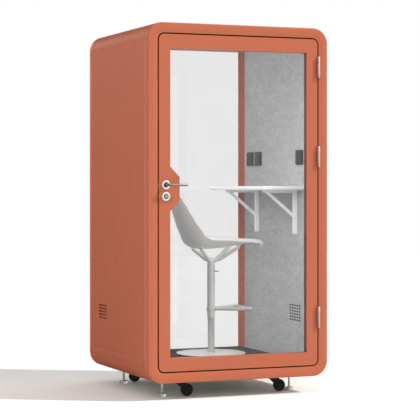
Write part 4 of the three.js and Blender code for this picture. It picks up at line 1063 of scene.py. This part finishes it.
def seat_spider():
    """Cast hub whose four arms rise to the seat, blended by a fine remesh."""
    shape = Shape()
    hub = [(22, 585), (22, 605.3), (25.6, 605.3), (26, 606), (26, 616)]
    hub += [(25, 626), (22, 634), (16, 640), (6, 642)]
    shape.turn(hub, 48, STOOL)
    for x, y in ((168, 74), (168, -74), (-100, 74), (-100, -74)):
        end = underside(x, y) + 5
        stops = ((0.05, 620), (0.3, 629), (0.97, end - 22), (1, end))
        path = bend([(x * share, y * share, z) for share, z in stops], 16, 8)
        start = path[0].copy()
        path[:1] = [start.lerp(path[1], k / 12) for k in range(12)]
        radii = [14.0 - 2.0 * min(1.0, (p - start).length / 120) for p in path]
        shape.tube([STOOL @ p for p in path], radii, 20)
        shape.turn([(14, end - 8), (16, end - 5), (16, end + 2)], 28, STOOL @ shift((x, y, 0)))
    obj = to_object("stool_spider", shape)
    mod = obj.modifiers.new("blend", "REMESH")
    mod.mode = "VOXEL"
    mod.voxel_size = 2.6 * MM
    mod.use_smooth_shade = True
    mod = obj.modifiers.new("soften", "SMOOTH")
    mod.factor = 0.5
    mod.iterations = 6
    baked(obj)
    tidy(obj.data, SEAT_ANGLE)
    settle(obj, "stool_seat", stool_paint, ("stool_seat_frame",))


seat_spider()


# Casters and feet

CHEEK = 16.7
AXLE = (30, 0, 40)


def yoke(turn, axle):
    """Pressed fork: bearing head on a kingpin, a crown, two raked cheeks and the axle bolt."""
    shape = Shape()
    head = [(0.5, 88), (30, 88), (34, 89.5), (36, 92), (36, 97), (34.5, 98.6), (30, 99), (29, 99.6)]
    head += [(29, 101.6), (6.2, 101.6), (6, 102), (6, 112), (0.5, 112)]
    shape.turn(head, 48, turn)
    crown = rounded(-38, 32, -CHEEK, CHEEK, 7, 5)
    shape.sheet(crown, [], 86, 90, lambda u, v, h: turn @ Vector((u, v, h)))
    cheek = [(32, 88), (-38, 88), (-38.5, 85.5), (-37, 83), (-4, 54), (17, 37)]
    cheek += arc(30, 40, 13, 200, 385, 16) + [(37, 66), (33, 80)]
    for low in (-CHEEK, CHEEK - 3.2):
        shape.sheet(cheek, [], low, low + 3.2, lambda u, v, h: turn @ Vector((u, h, v)))
    bolt = [(0.5, -20.5), (6.4, -20.5), (7, -19.9), (7, -17), (4, -16.8)]
    shape.turn(bolt + [(r, -h) for r, h in bolt[::-1]], 24, axle)
    return shape


def caster(corner, sx, sy):
    heading = radians(-22.5 if sy < 0 else 157.5)
    turn = shift((*at_corner(CASTER_AT, sx, sy), 0)) @ Matrix.Rotation(heading, 4, "Z")
    axle = turn @ shift(AXLE) @ Matrix.Rotation(radians(90), 4, "X")
    side = [(4.3, -12), (15, -12), (16.5, -11.6), (27.945, -10.6), (28.98, -11.2), (32.085, -11.4)]
    side += [(35.811, -10.6), (37.881, -8.4), (38.7, -5), (38.8, 0)]
    profile = side + [(r, -h) for r, h in side[-2::-1]]
    wheel = Shape().turn(profile, 64, axle, closed=True)
    fork = yoke(turn, axle)
    piece(f"wheel_{corner}_tyre", wheel, f"wheel_{corner}", tread, f"caster_wheel_{corner}")
    piece(f"fork_{corner}_yoke", fork, f"fork_{corner}", black_plastic, f"caster_fork_{corner}", width=0.8)


THREAD = 1.5


def foot(corner, sx, sy):
    """Chromed levelling foot: a turned sole, a ball collar and a threaded stem."""
    profile = [(24.6, 0.0), (26, 0.6), (26.6, 2.2), (26.6, 15.6), (26.1, 17.6), (24.4, 18.8)]
    profile += [(13, 19.6), (11.6, 20.4), (10.6, 22), (8.4, 23.4), (7.5, 24.4), (7.5, 97)]
    for turn in range(26):
        z = 98.0 + THREAD * turn
        profile += [(7.5, z), (7.0, z + THREAD / 2)]
    profile += [(7.4, 138), (6.6, 140)]
    shape = Shape().turn(profile, 32, shift((*at_corner(FOOT_AT, sx, sy), 0)))
    piece(f"foot_{corner}_stem", shape, f"foot_{corner}", chrome, f"levelling_foot_{corner}", angle=50)


for corner, (sx, sy) in CORNERS.items():
    caster(corner, sx, sy)
    foot(corner, sx, sy)


# CAD nodes that stay

KEPT = {
    "door_glass": glass,
    "rear_glass": glass,
    "left_core": wool,
    "right_core": wool,
    "floor_deck": board,
    "chassis": dark_steel,
    "fan_housing": black_plastic[1],
    "fan_rotor": black_plastic[1],
}
for node, material in KEPT.items():
    obj = NODES[node]
    if not obj.material_slots:
        obj.data.materials.append(material)
    for held in obj.material_slots:
        held.material = material


# Stage

floor_mesh = bpy.data.meshes.new("studio_floor")
floor_mesh.from_pydata([(-16, -12.94, 0), (16, -12.94, 0), (16, 18, 0), (-16, 18, 0)], [], [(0, 1, 2, 3)])
floor = linked("studio_floor", floor_mesh)
pale = Finish("studio_paper", Roughness=0.9, Specular_IOR_Level=0.1)
speck = pale.noise(40.0, 3.0)
depth = pale.feed("ShaderNodeSeparateXYZ", None, {0: pale.place}, "Y")
away = pale.span(depth, 0.0, 1.0, 0.5, 1.6)
paper = pale.ramp(speck, (0.3, (0.835, 0.838, 0.805)), (0.7, (0.855, 0.858, 0.825)))
pale.colour(pale.mixed(away, paper, (0.72, 0.72, 0.72)))
floor_mesh.materials.append(pale.material)
floor.visible_glossy = False

world = bpy.data.worlds.new("studio")
bpy.context.scene.world = world
world.use_nodes = True
sky = Nodes(world.node_tree)
sky.tree.nodes.clear()


def combined(operation, a, b):
    return sky.feed("ShaderNodeMath", None, {0: a, 1: b}, operation=operation)


def blended(factor, a, b):
    return sky.feed("ShaderNodeMix", None, {0: factor, 2: a, 3: b})


def chosen(factor, a, b):
    return sky.feed("ShaderNodeMixShader", None, {0: factor, 1: a, 2: b})


def backdrop(source=None, grey=1.0):
    """A background as bright as its source, or one plain grey."""
    sources = {"Color": source} if source is not None else {}
    return sky.feed("ShaderNodeBackground", {"Color": (grey, grey, grey, 1)}, sources)


def toward(direction):
    """1 where a ray heads in a direction, less the further it strays from it."""
    return sky.feed("ShaderNodeVectorMath", {1: direction}, {0: heading}, "Value", operation="DOT_PRODUCT")


paths = sky.node("ShaderNodeLightPath").outputs
heading = sky.feed("ShaderNodeTexCoord", out="Generated")
east, north, up = sky.node("ShaderNodeSeparateXYZ", None, {0: heading}).outputs

# Light that falls on the pod, a little stronger from the left and from behind
left = sky.span(east, 1.16, 0.75, -1.0, -0.1)
back = sky.span(north, 0.0, 0.32, 0.0, 0.8)
soft = backdrop(combined("ADD", left, back))

# What the glass and the metal mirror: a dim wall before the door, bright walls round the rest
ahead = sky.span(toward((0.382, -0.924, 0.0)), 0.0, 1.0, 0.88, 0.975)
dim = sky.span(up, 0.22, 0.55, -0.0585, -0.0565)
bright = combined("MULTIPLY", sky.span(up, 0.6, 1.0, -0.25, 0.1), sky.span(east, 0.32, 1.35, -0.6, 0.3))
behind = sky.span(north, 0.0, 1.0, 0.6, 0.8)
window = sky.span(toward((-0.27, 0.925, 0.27)), 0.04, 0.8, 0.972, 0.997)
mirrored = backdrop(blended(behind, blended(ahead, bright, dim), window))
straight = sky.span(paths["Is Transmission Ray"], 1.0, 0.0, 0.0, 1.0)
light = chosen(combined("MULTIPLY", paths["Is Glossy Ray"], straight), soft, mirrored)

# Seen through the panes, the backdrop is the same plain white on every side
first = sky.span(paths["Diffuse Depth"], 1.0, 0.0, 0.0, 1.0)
light = chosen(combined("MULTIPLY", paths["Is Transmission Ray"], first), light, backdrop(grey=1.06))
light = chosen(paths["Is Camera Ray"], light, backdrop())
sky.node("ShaderNodeOutputWorld", None, {"Surface": light})

sun = bpy.data.lights.new("key", "SUN")
sun.energy = 2.9
sun.angle = radians(3)
key = linked("key", sun)
key.rotation_euler = Vector((0.633, -0.366, 0.682)).to_track_quat("Z", "Y").to_euler()


def cabin_light(name, side, energy, spread, lit, shading, reach=0.0):
    """A soft lamp for the cabin alone, which its walls do not hold off; reach makes it a near one."""
    side = Vector(side).normalized()
    name = "cabin_" + name
    lamp = bpy.data.lights.new(name, "AREA" if reach else "SUN")
    obj = linked(name, lamp)
    obj.rotation_euler = side.to_track_quat("Z", "Y").to_euler()
    if reach:
        lamp.shape = "DISK"
        lamp.size = 2 * reach * tan(radians(spread / 2))
        lamp.energy = energy * pi * reach**2
        obj.location = Vector((0, 0, 1.2)) + side * reach
    else:
        lamp.angle = radians(spread)
        lamp.energy = energy
    for role, names in (("receiver_collection", lit), ("blocker_collection", shading)):
        group = bpy.data.collections.new(name + "_" + role)
        for member in names:
            group.objects.link(bpy.data.objects[member])
        setattr(obj.light_linking, role, group)


LEFT_WALL = ("left_felt_board",)
RIGHT_WALL = ("right_felt_board",)
REAR = ("rear_frame_piece", "rear_pane_stops")
DESK = ("desk_board",)
BRACKETS = ("desk_bracket_front_piece", "desk_bracket_rear_piece")
PLATES = ("wall_plate_front", "wall_plate_middle", "wall_plate_rear")
FITTINGS = DESK + BRACKETS + PLATES
LOWER = ("stool_foot", "stool_foot_rim")
UPRIGHT = ("stool_sleeve", "stool_spider", "stool_height_handle_piece")
SEAT = ("stool_seat_bucket",)
# Stands where it shades nothing; with no blocker at all, everything would shade
ASIDE = PLATES[:1]
cabin_light("floor", (-0.2, -0.4, 0.9), 3.0, 60, LOWER, LOWER + UPRIGHT)
cabin_light("stool", (0.45, -0.58, 0.68), 3.0, 90, UPRIGHT, ASIDE)
cabin_light("seat", (-0.1, -0.5, 0.87), 5.0, 60, SEAT, SEAT)
cabin_light("under", (0.3, -0.9, -0.3), 2.6, 60, SEAT, ASIDE)
cabin_light("back", (-0.45, 0.85, 0.25), 0.5, 60, SEAT, ASIDE)
cabin_light("desk", (-0.8, -0.32, 0.5), 4.4, 80, DESK, ASIDE)
cabin_light("brackets", (-0.72, -0.62, 0.3), 2.9, 60, BRACKETS, DESK)
cabin_light("front", (-0.7, -0.45, 0.75), 5.9, 80, RIGHT_WALL, FITTINGS, 3.2)
cabin_light("side", (0.7, -0.45, 0.55), 1.3, 100, LEFT_WALL, BRACKETS + PLATES)
cabin_light("rear", (-0.5, -0.7, 0.5), 3.9, 100, REAR, FITTINGS)

camera_data = bpy.data.cameras.new("camera")
camera_data.sensor_width = 36
camera_data.lens = 136.99
camera_data.shift_y = -0.0592
camera_data.clip_end = 100
camera = linked("camera", camera_data)
camera.location = (-3.9465, -9.5987, 1.3101)
camera.rotation_euler = (radians(90), 0, radians(-22.4657))
scene = bpy.context.scene
scene.camera = camera
scene.view_settings.view_transform = "Standard"
scene.view_settings.look = "None"
